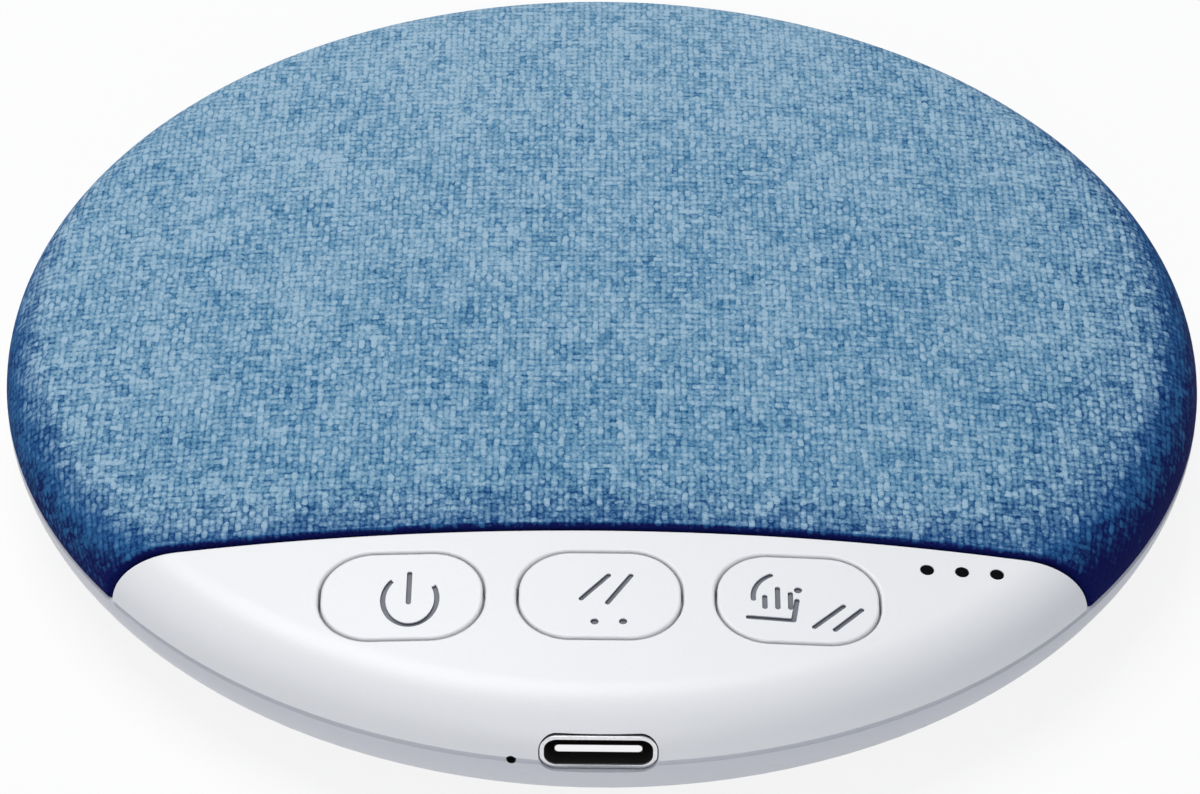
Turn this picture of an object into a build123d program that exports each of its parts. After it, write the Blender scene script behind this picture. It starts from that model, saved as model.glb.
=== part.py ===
"""White noise sound machine: a flat round speaker with a fabric dome, a plastic control panel and a USB-C port.

Millimetres, +Z up. The origin is on the table under the middle of the disc. The control panel and the
port face -Y. Each sub-part is built in place, in its own block, and written to parts/NAME.step.
"""

import os
from math import atan2, cos, degrees, hypot, radians, sin

from build123d import *

# ---------------------------------------------------------------- driving dimensions
# Outline of the closed disc
DISC_RADIUS = 50.0
SEAM_HEIGHT = 7.5  # parting line between the top and the base, above the table
DOME_RISE = 7.5  # crown of the dome above the parting line
DOME_SHOULDER = 4.8  # radius of the rounded edge above the parting line
BASE_SHOULDER = 5.6  # radius of the rounded edge below the parting line
BASE_CURVE_WIDTH = 9.0  # from the rim in to the flat underside
FOOT_PROUD = 0.6  # the rubber feet lift the base this far off the table

# Walls and the gaps between the casings
BASE_WALL = 1.8
PANEL_WALL = 1.8
DOME_WALL = 1.6
FABRIC_THICKNESS = 0.7
FABRIC_FOLD_DEPTH = 2.3  # how far the cloth turns down beside the control panel
HEM_WIDTH = 2.2  # how far the cloth turns in under the rim of the dome
PANEL_GAP = 0.4  # open groove between the cloth and the control panel
EDGE_BREAK = 0.25  # small chamfers that make the parting line a fine groove
EDGE_ROUND = 0.2  # rounding of the panel's and the keys' visible edges
PANEL_DEPTH = 20.4  # from the front of the rim to the middle of the panel's rear edge
PANEL_EDGE_ARC = 430.0  # plan radius of that edge
PANEL_FLANGE = 1.2  # thickness of the stiffening wall under the panel's rear edge
LIP_THICKNESS = 1.2
LIP_HEIGHT = 1.4
LIP_CLEARANCE = 0.75  # at the parting line; the dome curves in above it
LIP_SHELF_DEPTH = 2.0

# Three keys in the control panel
KEY_NAMES = ("power", "sound", "track")
KEY_PITCH = 15.4
KEY_SET_IN = 13.2  # middle of the keys behind the front of the rim
KEY_WIDTH = 12.6
KEY_DEPTH = 9.0
KEY_CORNER = 4.1
KEY_CLEARANCE = 0.2
KEY_FLANGE = 0.6  # retaining flange, beyond the key's own outline
KEY_FLANGE_THICKNESS = 0.6
KEY_REST_GAP = 0.12  # between that flange and the panel, at rest
KEY_SKIN = 1.3
KEY_SIDE = 1.0
KEY_STEM_RADIUS = 1.6
KEY_TRAVEL = 0.35
SYMBOL_DEPTH = 0.22
SYMBOL_STROKE = 0.42
SYMBOL_DOT = 0.32
POWER_RING = (2.1, 2.7)  # half its width and half its height
LEVEL_BARS = (1.1, 2.0, 1.5)

# Push switches under the keys
SWITCH_SIDE = 4.6
SWITCH_HEIGHT = 1.4
PLUNGER_RADIUS = 1.1
PLUNGER_RISE = 0.58  # plunger above its housing, at rest
PLUNGER_SUNK = 0.5
PLUNGER_CLEARANCE = 0.06

# Three indicator lights
LIGHT_FROM_END = 11.95  # middle light, in from the end of the panel's rear edge
LIGHT_SET_IN = 17.0  # behind the front of the rim
LIGHT_PITCH = 2.75
LIGHT_RADIUS = 0.5
LIGHT_CLEARANCE = 0.06
LIGHT_BAR_THICKNESS = 0.8
LIGHT_BAR_GAP = 0.3
LED_SIZE = (1.6, 0.8, 0.6)
LED_SETBACK = 2.4  # the lamps sit this far behind the windows

# USB-C receptacle
USB_RISE = 0.8  # its centre above the parting line
USB_OPENING = (8.34, 2.56)
USB_OPENING_CORNER = 1.0
USB_SHELL_WALL = 0.32
USB_LENGTH = 6.2
USB_MOUTH_SET_IN = 0.5  # mouth behind the front of the disc
USB_CASE_CLEARANCE = 0.1
USB_TONGUE = (6.69, 0.7)
USB_TONGUE_SET_IN = 0.45
USB_BACK_BLOCK = 1.6
USB_WING = (0.96, 1.2, 0.3)  # side tabs that carry it on the board's top
USB_WING_SUNK = 0.45  # how far a wing reaches into the shell's wall
USB_NOTCH_CLEARANCE = 0.1  # around the receptacle, where it sits in the board's front edge
USB_CONTACT_PITCH = 0.5
USB_CONTACTS_PER_SIDE = 12
USB_CONTACT = (0.26, 2.4, 0.08)
USB_CONTACT_SET_IN = 0.6
USB_WING_SET_IN = 5.5  # behind the mouth

# Pinhole for the microphone, on the parting line beside the port
PINHOLE_X = -6.66
PINHOLE_RADIUS = 0.36
MICROPHONE = (3.0, 2.0, 1.1)
MICROPHONE_SET_IN = 2.15  # behind the board's front edge

# Main board
BOARD_THICKNESS = 1.0
BOARD_DROP = 0.4  # top of the board below the parting line
BOARD_BEHIND_PANEL = 2.8  # rear edge of the board behind the panel's rear edge
BOARD_CLEARANCE = 0.7
BOARD_CORNER = 1.5
BOARD_POST_RADIUS = 2.2
BOARD_SIDE_SCREW = (22.5, 9.2)  # out from the middle, in front of the board's rear edge
BOARD_MIDDLE_SCREW = 2.7  # in front of that edge

CHIP_BREAK = 0.15
CHIP_ROUND = 0.3
PROCESSOR = (6.0, 6.0, 0.8)
PROCESSOR_PLACE = (7.7, 8.8)  # out from the middle, in front of the board's rear edge
WIRELESS = (7.0, 5.4, 1.5)
WIRELESS_PLACE = (-25.5, 3.4)
MEMORY = (5.0, 4.0, 0.9)
MEMORY_PLACE = (7.7, 14.6)
AMPLIFIER = (3.0, 3.0, 0.8)
AMPLIFIER_PLACE = (14.0, 4.8)
CHARGER = (3.0, 3.0, 0.8)
CHARGER_PLACE = (-7.8, 10.4)
INDUCTOR = (3.0, 3.0, 1.4)
INDUCTOR_PLACE = (-7.8, 5.8)
CAPACITOR = (1.6, 0.8, 0.8)
CAPACITOR_PLACES = ((-11.4, 5.4), (-11.4, 3.8), (4.6, 3.8), (7.2, 3.8), (18.2, 4.8), (18.2, 3.2))

# Lead sockets and plugs
SOCKET = (6.0, 4.2, 2.9)
SOCKET_X = 10.0
PLUG = (5.0, 5.2, 1.9)
PLUG_INSERTED = 3.4
PLUG_CLEARANCE = 0.1
WIRE_RADIUS = 0.45
WIRE_SPACING = 1.4
WIRE_BEND = 1.8

# Battery
BATTERY_HEIGHT = 4.5
BATTERY_RIM_GAP = 10.0  # from the rim of the disc
BATTERY_SPEAKER_GAP = 3.0
BATTERY_BOSS_GAP = 2.0  # behind it
BATTERY_LEDGE_GAP = 1.2  # between its protection board and the front bosses
BATTERY_TAPE = 0.3
BATTERY_TAPE_MARGIN = 3.0
BATTERY_EDGE = 1.6
BATTERY_LEDGE = (18.0, 2.8, 1.5)  # its protection board
BATTERY_RIB_THICKNESS = 1.0
BATTERY_RIB_HEIGHT = 2.5
BATTERY_RIB_CLEARANCE = 0.3

# Speaker driver
SPEAKER_RIM_GAP = 17.0  # from the right-hand rim of the disc
SPEAKER_Y = 4.0
SPEAKER_RADIUS = 20.0
SPEAKER_DEPTH = 6.1
SPEAKER_PAD = 0.4
SPEAKER_FLANGE = 1.0
FLANGE_WIDTH = 3.4
YOKE_HEIGHT = 3.4
YOKE_WALL = 1.2
YOKE_FLOOR = 0.8
MAGNET_SET_IN = 0.45  # edge of the magnet inside the pole plate's edge
MAGNET_THICKNESS = 1.7
POLE_RADIUS = 6.85
POLE_THICKNESS = 0.8
COIL_GAP = 0.3  # on each side of the coil
COIL_THICKNESS = 0.35
COIL_FLOOR_GAP = 0.7
CONE_THICKNESS = 0.3
CONE_NECK_DROP = 1.2  # neck of the cone below its outer edge
CONE_LAND = 0.8
DUST_CAP_RISE = 1.5
SURROUND_THICKNESS = 0.25
SURROUND_ROLL = 1.2
SURROUND_LAND = 3.0  # glued to the frame
SURROUND_NECK = 0.2  # between the cone's edge and the roll
GASKET_THICKNESS = 0.5
EAR_ANGLES = (10.0, 100.0, 250.0)
EAR_OUT = 1.8  # screws outside the edge of the frame
EAR_RADIUS = 2.6
SEAT_WIDTH = 2.6
GRILLE_HOLE_RADIUS = 1.0
GRILLE_PITCH = 3.4
GRILLE_RINGS = 4
BASKET_FLOOR_RISE = 2.0  # above the underside of the yoke
BASKET_WALL = 0.8
BASKET_FLOOR_WIDTH = 3.0  # flat ring round the yoke
BASKET_HOLE_RADIUS = 1.3
BASKET_HOLES = 8
TERMINAL = (5.0, 2.4, 0.8)
TERMINAL_SET_IN = 1.3  # middle of the terminals inside the edge of the frame

# Fasteners and feet
CASE_SCREW_ANGLE = 34.0
FLAT_MARGIN = 0.6  # from a boss or a foot to the edge of the flat underside
CASE_SCREW_SHANK = 0.95
CASE_SCREW_HEAD = (2.0, 1.4)  # radius, height
CASE_SCREW_LENGTH = 7.4
CASE_BOSS_RADIUS = 3.0
CASE_SEAT = 2.2  # plastic under the screw's head, above the underside
BOSS_GAP = 0.2
SMALL_SCREW_SHANK = 0.8
SMALL_SCREW_HEAD = (1.7, 1.1)
SMALL_SCREW_LENGTH = 2.8
SCREW_CLEARANCE = 0.25
PILOT_CLEARANCE = 0.05
PILOT_SPARE = 0.4
DRIVE_SLOT = (0.5, 0.6)  # width and depth of the cross in a screw's head
PANEL_TAB_X = 19.0
PANEL_TAB_BEHIND = 3.6  # tab screws behind the panel's rear edge
PANEL_TAB_WIDTH = 8.0
PANEL_TAB_THICKNESS = 1.2
PANEL_TAB_DROP = 1.6  # underside of the tabs above the parting line
PANEL_BOSS_RADIUS = 2.4
FOOT_ANGLE = 53.0
FOOT_RADIUS = 4.0
FOOT_POCKET = 0.5
FOOT_CLEARANCE = 0.1
FOOT_ROUND = 0.25

TOLERANCE = 0.001

# ---------------------------------------------------------------- worked-out dimensions
def four_ways(circle, angle):
    """Four places on a circle, one in each quarter of the disc."""
    x, y = circle * cos(radians(angle)), circle * sin(radians(angle))
    return ((-x, -y), (x, -y), (x, y), (-x, y))


def on_board(place):
    """A place on the board: out from the middle, and in front of the board's rear edge."""
    return (place[0], BOARD_REAR_Y - place[1])


BASE_FLAT_RADIUS = DISC_RADIUS - BASE_CURVE_WIDTH
PANEL_EDGE_Y = PANEL_DEPTH - DISC_RADIUS
PANEL_HALF_WIDTH = (DISC_RADIUS**2 - PANEL_EDGE_Y**2) ** 0.5
KEY_Y = KEY_SET_IN - DISC_RADIUS
LIGHT_X = PANEL_HALF_WIDTH - LIGHT_FROM_END
LIGHT_Y = LIGHT_SET_IN - DISC_RADIUS
BOARD_REAR_Y = PANEL_EDGE_Y + BOARD_BEHIND_PANEL
PANEL_TAB_Y = PANEL_EDGE_Y + PANEL_TAB_BEHIND
CASE_SCREW_PLACES = four_ways(BASE_FLAT_RADIUS - CASE_BOSS_RADIUS - FLAT_MARGIN, CASE_SCREW_ANGLE)
FOOT_PLACES = four_ways(BASE_FLAT_RADIUS - FOOT_RADIUS - FLAT_MARGIN, FOOT_ANGLE)
BOARD_SCREW_PLACES = (
    on_board((-BOARD_SIDE_SCREW[0], BOARD_SIDE_SCREW[1])), on_board(BOARD_SIDE_SCREW),
    on_board((0, BOARD_MIDDLE_SCREW)),
)
SPEAKER_X = DISC_RADIUS - SPEAKER_RIM_GAP - SPEAKER_RADIUS
FLANGE_INNER_RADIUS = SPEAKER_RADIUS - FLANGE_WIDTH
CONE_RADIUS = SPEAKER_RADIUS - SURROUND_LAND - 2 * SURROUND_ROLL - SURROUND_NECK
MAGNET_RADIUS = POLE_RADIUS - MAGNET_SET_IN
COIL_RADIUS = POLE_RADIUS + COIL_GAP
YOKE_RADIUS = COIL_RADIUS + COIL_THICKNESS + COIL_GAP + YOKE_WALL
BASKET_FLOOR_RADIUS = YOKE_RADIUS + BASKET_FLOOR_WIDTH
BASKET_HOLE_CIRCLE = (BASKET_FLOOR_RADIUS + FLANGE_INNER_RADIUS) / 2
EAR_CIRCLE = SPEAKER_RADIUS + EAR_OUT
TERMINAL_OUT = SPEAKER_RADIUS - TERMINAL_SET_IN
BATTERY_LEFT_X = BATTERY_RIM_GAP - DISC_RADIUS
BATTERY_RIGHT_X = SPEAKER_X - SPEAKER_RADIUS - BATTERY_SPEAKER_GAP
BATTERY_REAR_Y = CASE_SCREW_PLACES[2][1] - CASE_BOSS_RADIUS - BATTERY_BOSS_GAP
LEDGE_FRONT_Y = CASE_SCREW_PLACES[0][1] + CASE_BOSS_RADIUS + BATTERY_LEDGE_GAP
BATTERY_FRONT_Y = LEDGE_FRONT_Y + BATTERY_LEDGE[1]
BATTERY_X = (BATTERY_LEFT_X + BATTERY_RIGHT_X) / 2
BATTERY_Y = (BATTERY_FRONT_Y + BATTERY_REAR_Y) / 2
BATTERY = (BATTERY_RIGHT_X - BATTERY_LEFT_X, BATTERY_REAR_Y - BATTERY_FRONT_Y, BATTERY_HEIGHT)
BATTERY_TAPE_AREA = (BATTERY[0] - 2 * BATTERY_TAPE_MARGIN, BATTERY[1] - 2 * BATTERY_TAPE_MARGIN)
BATTERY_RIB = (BATTERY_RIB_THICKNESS, BATTERY_TAPE_AREA[1], BATTERY_RIB_HEIGHT)
CROWN_RADIUS = ((DISC_RADIUS - DOME_SHOULDER) ** 2 + DOME_RISE**2 - DOME_SHOULDER**2) / (
    2 * (DOME_RISE - DOME_SHOULDER)
)
CROWN_CENTRE_Z = SEAM_HEIGHT + DOME_RISE - CROWN_RADIUS
SHOULDER_ANGLE = degrees(atan2(SEAM_HEIGHT - CROWN_CENTRE_Z, DISC_RADIUS - DOME_SHOULDER))
BASE_DEPTH = SEAM_HEIGHT - FOOT_PROUD
FLANK_SPAN = DISC_RADIUS - BASE_SHOULDER - BASE_FLAT_RADIUS
FLANK_RADIUS = (FLANK_SPAN**2 + BASE_DEPTH**2 - BASE_SHOULDER**2) / (2 * (BASE_DEPTH - BASE_SHOULDER))
FLANK_ANGLE = degrees(atan2(FLANK_RADIUS - BASE_DEPTH, FLANK_SPAN))
TOP_Z = SEAM_HEIGHT + DOME_RISE
FLOOR_Z = FOOT_PROUD + BASE_WALL  # inside face of the base's floor
DOME_INSET = FABRIC_THICKNESS + DOME_WALL
LIP_OUTER = DISC_RADIUS - DOME_INSET - LIP_CLEARANCE
LIP_INNER = LIP_OUTER - LIP_THICKNESS
KEY_XS = (-KEY_PITCH, 0.0, KEY_PITCH)
USB_Z = SEAM_HEIGHT + USB_RISE
USB_SHELL = tuple(side + 2 * USB_SHELL_WALL for side in USB_OPENING)
USB_MOUTH_Y = -DISC_RADIUS + USB_MOUTH_SET_IN
USB_REAR_Y = USB_MOUTH_Y + USB_LENGTH
USB_WING_Y = USB_MOUTH_Y + USB_WING_SET_IN
BOARD_TOP = SEAM_HEIGHT - BOARD_DROP
BOARD_BOTTOM = BOARD_TOP - BOARD_THICKNESS
BOARD_RADIUS = LIP_INNER - BOARD_CLEARANCE
SWITCH_TOP = BOARD_TOP + SWITCH_HEIGHT
PLUNGER_TOP = SWITCH_TOP + PLUNGER_RISE
KEY_DROP = PANEL_WALL + KEY_REST_GAP + KEY_FLANGE_THICKNESS
LIGHT_XS = tuple(LIGHT_X + step * LIGHT_PITCH for step in (-1, 0, 1))
LIGHT_PLACES = tuple((x, LIGHT_Y) for x in LIGHT_XS)
LIGHT_BAR_BOTTOM = BOARD_TOP + LED_SIZE[2] + LIGHT_BAR_GAP
LIGHT_BAR_TOP = LIGHT_BAR_BOTTOM + LIGHT_BAR_THICKNESS
LIGHT_BAR_REAR = LIGHT_Y + LED_SETBACK + LED_SIZE[1] / 2
LIGHT_BAR_FRONT = LIGHT_Y - LIGHT_RADIUS
LIGHT_BAR_Y = (LIGHT_BAR_REAR + LIGHT_BAR_FRONT) / 2
LIGHT_BAR = (2 * LIGHT_PITCH + LED_SIZE[0], LIGHT_BAR_REAR - LIGHT_BAR_FRONT, LIGHT_BAR_THICKNESS)
TAB_BOTTOM = SEAM_HEIGHT + PANEL_TAB_DROP
TAB_TOP = TAB_BOTTOM + PANEL_TAB_THICKNESS
TAB_PLACES = ((-PANEL_TAB_X, PANEL_TAB_Y), (PANEL_TAB_X, PANEL_TAB_Y))
SMALL_PILOT = SMALL_SCREW_SHANK + PILOT_CLEARANCE
SMALL_PILOT_REACH = SMALL_SCREW_LENGTH + PILOT_SPARE
BATTERY_BOTTOM = FLOOR_Z + BATTERY_TAPE
YOKE_BOTTOM = FLOOR_Z + SPEAKER_PAD
FLANGE_TOP = YOKE_BOTTOM + SPEAKER_DEPTH
EAR_BOTTOM = FLANGE_TOP - SPEAKER_FLANGE
MAGNET_BOTTOM = YOKE_BOTTOM + YOKE_FLOOR
MAGNET_TOP = MAGNET_BOTTOM + MAGNET_THICKNESS
BASKET_FLOOR_Z = YOKE_BOTTOM + BASKET_FLOOR_RISE
SEAT_Z = FLANGE_TOP + SURROUND_THICKNESS + GASKET_THICKNESS
COIL_BOTTOM = YOKE_BOTTOM + YOKE_FLOOR + COIL_FLOOR_GAP
CONE_NECK_Z = FLANGE_TOP - CONE_NECK_DROP
EARS = tuple(
    (SPEAKER_X + EAR_CIRCLE * cos(radians(a)), SPEAKER_Y + EAR_CIRCLE * sin(radians(a))) for a in EAR_ANGLES
)
SPEAKER_AXIS = Axis((SPEAKER_X, SPEAKER_Y, 0), (0, 0, 1))
SPEAKER_SECTION = Plane((SPEAKER_X, SPEAKER_Y, 0), x_dir=(1, 0, 0), z_dir=(0, -1, 0))
CASE_SEAT_Z = FOOT_PROUD + CASE_SEAT
SOCKET_Z = BOARD_BOTTOM - SOCKET[2] / 2
PLUG_REAR_Y = BOARD_REAR_Y - PLUG_INSERTED + PLUG[1]
LEAD_TURN_Y = (LEDGE_FRONT_Y + PLUG_REAR_Y) / 2 + WIRE_SPACING / 2
MICROPHONE_Y = MICROPHONE_SET_IN - BOARD_RADIUS


# ---------------------------------------------------------------- shared volumes and outlines
def under_dome(inset):
    """Everything between the parting plane and the dome surface, shrunk inwards by inset."""
    with BuildPart() as volume:
        with BuildSketch(Plane.XZ):
            with BuildLine():
                edge_centre = (DISC_RADIUS - DOME_SHOULDER, SEAM_HEIGHT)
                shoulder = CenterArc(edge_centre, DOME_SHOULDER - inset, 0, SHOULDER_ANGLE)
                crown_centre = (0, CROWN_CENTRE_Z)
                crown = CenterArc(crown_centre, CROWN_RADIUS - inset, SHOULDER_ANGLE, 90 - SHOULDER_ANGLE)
                Polyline(crown @ 1, (0, SEAM_HEIGHT), shoulder @ 0)
            make_face()
        revolve(axis=Axis.Z)
    return volume.part


def above_base(inset):
    """Everything between the base's outside, shrunk inwards by inset, and the parting plane."""
    with BuildPart() as volume:
        with BuildSketch(Plane.XZ):
            with BuildLine():
                edge_centre = (DISC_RADIUS - BASE_SHOULDER, SEAM_HEIGHT)
                shoulder = CenterArc(edge_centre, BASE_SHOULDER - inset, -FLANK_ANGLE, FLANK_ANGLE)
                flank_centre = (BASE_FLAT_RADIUS, FOOT_PROUD + FLANK_RADIUS)
                flank = CenterArc(flank_centre, FLANK_RADIUS - inset, -90, 90 - FLANK_ANGLE)
                Polyline(flank @ 0, (0, FOOT_PROUD + inset), (0, SEAM_HEIGHT), shoulder @ 1)
            make_face()
        revolve(axis=Axis.Z)
    return volume.part


def over_panel(grow):
    """A tall prism over the control panel's plan, with its bowed rear edge moved back by grow."""
    with BuildPart() as volume:
        with BuildSketch():
            with Locations((0, PANEL_EDGE_Y - PANEL_EDGE_ARC)):
                Circle(PANEL_EDGE_ARC + grow)
            with Locations((0, PANEL_EDGE_Y - DISC_RADIUS / 2)):
                Rectangle(2.4 * DISC_RADIUS, DISC_RADIUS + 4 * PANEL_GAP, mode=Mode.INTERSECT)
        extrude(amount=2 * TOP_Z)
    return volume.part


def dome_shell(outer_inset, inner_inset):
    """The layer between two insets of the dome surface."""
    with BuildPart() as layer:
        add(under_dome(outer_inset))
        add(under_dome(inner_inset), mode=Mode.SUBTRACT)
    return layer.part


def key_prism(x, grow, bottom, top):
    """A key's outline in plan, grown by grow, from one height to another."""
    with BuildPart() as prism:
        with BuildSketch(Plane.XY.offset(bottom)):
            with Locations((x, KEY_Y)):
                RectangleRounded(KEY_WIDTH + 2 * grow, KEY_DEPTH + 2 * grow, KEY_CORNER + grow)
        extrude(amount=top - bottom)
    return prism.part


def usb_prism(grow, near_y, far_y):
    """The outline of the receptacle's metal shell, grown by grow, between two depths."""
    with BuildPart() as prism:
        with BuildSketch(Plane((0, far_y, USB_Z), x_dir=(1, 0, 0), z_dir=(0, -1, 0))):
            corner = USB_OPENING_CORNER + USB_SHELL_WALL + grow
            RectangleRounded(USB_SHELL[0] + 2 * grow, USB_SHELL[1] + 2 * grow, corner)
        extrude(amount=far_y - near_y)
    return prism.part


def pinhole():
    """The microphone's pinhole, square to the rim."""
    with BuildPart() as drill:
        with BuildSketch(Plane((PINHOLE_X, -DISC_RADIUS, SEAM_HEIGHT), x_dir=(1, 0, 0), z_dir=(0, 1, 0))):
            Circle(PINHOLE_RADIUS)
        extrude(amount=DISC_RADIUS - LIP_INNER + 1.5)
    return drill.part


def round_bar(places, radius, bottom, top, mode=Mode.ADD):
    """Round bars or drilled holes at several places, inside the sub-part that is being built."""
    with Locations(*[(x, y, bottom) for x, y in places]):
        Cylinder(radius, top - bottom, align=(Align.CENTER, Align.CENTER, Align.MIN), mode=mode)


def block(x, y, size, bottom, mode=Mode.ADD):
    """A box centred on x, y that stands on the height bottom."""
    with Locations((x, y, bottom)):
        Box(*size, align=(Align.CENTER, Align.CENTER, Align.MIN), mode=mode)


def screws(places, seat, shank, head, length):
    """Pan-head screws that point up, with their heads below the seat and a cross in each head."""
    head_radius, head_height = head
    slot_width, slot_depth = DRIVE_SLOT
    round_bar(places, head_radius, seat - head_height, seat)
    round_bar(places, shank, seat, seat + length)
    for x, y in places:
        block(x, y, (1.3 * head_radius, slot_width, slot_depth), seat - head_height, Mode.SUBTRACT)
        block(x, y, (slot_width, 1.3 * head_radius, slot_depth), seat - head_height, Mode.SUBTRACT)


def stroke(start, end):
    """A straight round-ended stroke of a key's symbol."""
    run = Vector(*end) - Vector(*start)
    middle = (Vector(*end) + Vector(*start)) / 2
    with Locations((middle.X, middle.Y)):
        SlotCenterToCenter(run.length, SYMBOL_STROKE, rotation=degrees(atan2(run.Y, run.X)))


def bend(centre, radius, start, sweep_angle):
    """A round-ended arc of a key's symbol."""
    SlotArc(CenterArc(centre, radius, start, sweep_angle, mode=Mode.PRIVATE), SYMBOL_STROKE)


def open_ring(centre, half_size, gap_corners):
    """An oval ring of a key's symbol, open where a polygon from its centre covers it."""
    with Locations(centre):
        Ellipse(half_size[0] + SYMBOL_STROKE / 2, half_size[1] + SYMBOL_STROKE / 2)
        Ellipse(half_size[0] - SYMBOL_STROKE / 2, half_size[1] - SYMBOL_STROKE / 2, mode=Mode.SUBTRACT)
        Polygon((0, 0), *gap_corners, align=None, mode=Mode.SUBTRACT)


def dots(*places):
    """Round dots of a key's symbol."""
    with Locations(*places):
        Circle(SYMBOL_DOT)


def power_symbol():
    """An open ring with a bar through its gap."""
    open_ring((0.65, -0.45), POWER_RING, ((3.9, 3.0), (0, 6), (-2.8, 3.9)))
    stroke((0.55, -0.8), (0.55, 2.3))


def sound_symbol():
    """Two slanted strokes over two dots."""
    stroke((-1.45, -0.5), (0.65, 2.0))
    stroke((0.6, -0.9), (2.4, 2.0))
    dots((-0.4, -2.9), (1.8, -2.85))


def track_symbol():
    """Level bars in an open frame, beside two slanted strokes."""
    bend((-0.9, 0.1), 2.6, 118, 68)
    stroke((-3.9, -2.1), (-0.4, -2.3))
    stroke((-0.4, -2.3), (-0.1, -0.2))
    dots((0.0, 0.9))
    for bar, height in enumerate(LEVEL_BARS):
        stroke((-2.6 + bar, -1.0), (-2.6 + bar, height - 1.0))
    stroke((1.2, -2.9), (3.5, -0.6))
    stroke((2.8, -3.1), (4.9, -0.9))


def on_skin(edge):
    """True for a sharp edge on the outside of the dome, above the parting line."""
    if abs((edge @ 0).Z - (edge @ 1).Z) < TOLERANCE and edge.geom_type == GeomType.CIRCLE:
        if abs(edge.radius - (DISC_RADIUS - DOME_SHOULDER)) < 1:
            return False
    point = edge @ 0.5
    reach = hypot(point.X, point.Y)
    crown_error = hypot(reach, point.Z - CROWN_CENTRE_Z) - CROWN_RADIUS
    shoulder_error = hypot(reach - DISC_RADIUS + DOME_SHOULDER, point.Z - SEAM_HEIGHT) - DOME_SHOULDER
    on_crown = abs(crown_error) < TOLERANCE and point.Z > SEAM_HEIGHT + DOME_SHOULDER / 2
    return on_crown or (abs(shoulder_error) < TOLERANCE and point.Z > SEAM_HEIGHT + TOLERANCE)


def parting_groove():
    """The fine vee around the rim, half in the base and half in the panel."""
    with BuildPart() as groove:
        with BuildSketch(Plane.XZ):
            with BuildLine():
                Polyline(
                    (DISC_RADIUS - EDGE_BREAK, SEAM_HEIGHT), (DISC_RADIUS + 1, SEAM_HEIGHT + 1 + EDGE_BREAK),
                    (DISC_RADIUS + 1, SEAM_HEIGHT - 1 - EDGE_BREAK), close=True,
                )
            make_face()
        revolve(axis=Axis.Z)
    return groove.part


# ---------------------------------------------------------------- casings
# The white bowl that everything stands in, with its lip, screw bosses, board posts and foot pockets.
with BuildPart() as base_shell:
    add(above_base(0))
    add(above_base(BASE_WALL), mode=Mode.SUBTRACT)
    with BuildSketch(Plane.XY.offset(SEAM_HEIGHT - LIP_SHELF_DEPTH)):
        Circle(DISC_RADIUS - BASE_WALL)
        Circle(LIP_INNER, mode=Mode.SUBTRACT)
    extrude(amount=LIP_SHELF_DEPTH)
    with BuildSketch(Plane.XY.offset(SEAM_HEIGHT)):
        Circle(LIP_OUTER)
        Circle(LIP_INNER, mode=Mode.SUBTRACT)
    extrude(amount=LIP_HEIGHT)
    add(parting_groove(), mode=Mode.SUBTRACT)
    round_bar(CASE_SCREW_PLACES, CASE_BOSS_RADIUS, FOOT_PROUD, SEAM_HEIGHT - BOSS_GAP / 2)
    round_bar(CASE_SCREW_PLACES, CASE_SCREW_SHANK + SCREW_CLEARANCE, FOOT_PROUD, SEAM_HEIGHT, Mode.SUBTRACT)
    round_bar(CASE_SCREW_PLACES, CASE_SCREW_HEAD[0] + SCREW_CLEARANCE, FOOT_PROUD, CASE_SEAT_Z, Mode.SUBTRACT)
    round_bar(BOARD_SCREW_PLACES, BOARD_POST_RADIUS, FLOOR_Z, BOARD_BOTTOM)
    round_bar(BOARD_SCREW_PLACES, SMALL_PILOT, BOARD_BOTTOM - SMALL_PILOT_REACH, BOARD_BOTTOM, Mode.SUBTRACT)
    for side in (-1, 1):
        rib_x = BATTERY_X + side * (BATTERY[0] / 2 + BATTERY_RIB_CLEARANCE + BATTERY_RIB[0] / 2)
        block(rib_x, BATTERY_Y, BATTERY_RIB, FLOOR_Z)
    round_bar(FOOT_PLACES, FOOT_RADIUS + FOOT_CLEARANCE, FOOT_PROUD, FOOT_PROUD + FOOT_POCKET, Mode.SUBTRACT)
    notch = (LIGHT_BAR[0] + 2 * LIGHT_BAR_GAP, LIGHT_BAR[1] + 2 * LIGHT_BAR_GAP, LIP_HEIGHT)
    block(LIGHT_X, LIGHT_BAR_Y, notch, LIGHT_BAR_BOTTOM - LIGHT_BAR_GAP, Mode.SUBTRACT)
    add(usb_prism(USB_CASE_CLEARANCE, -DISC_RADIUS - 1, 1 - LIP_INNER), mode=Mode.SUBTRACT)
    add(pinhole(), mode=Mode.SUBTRACT)

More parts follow.
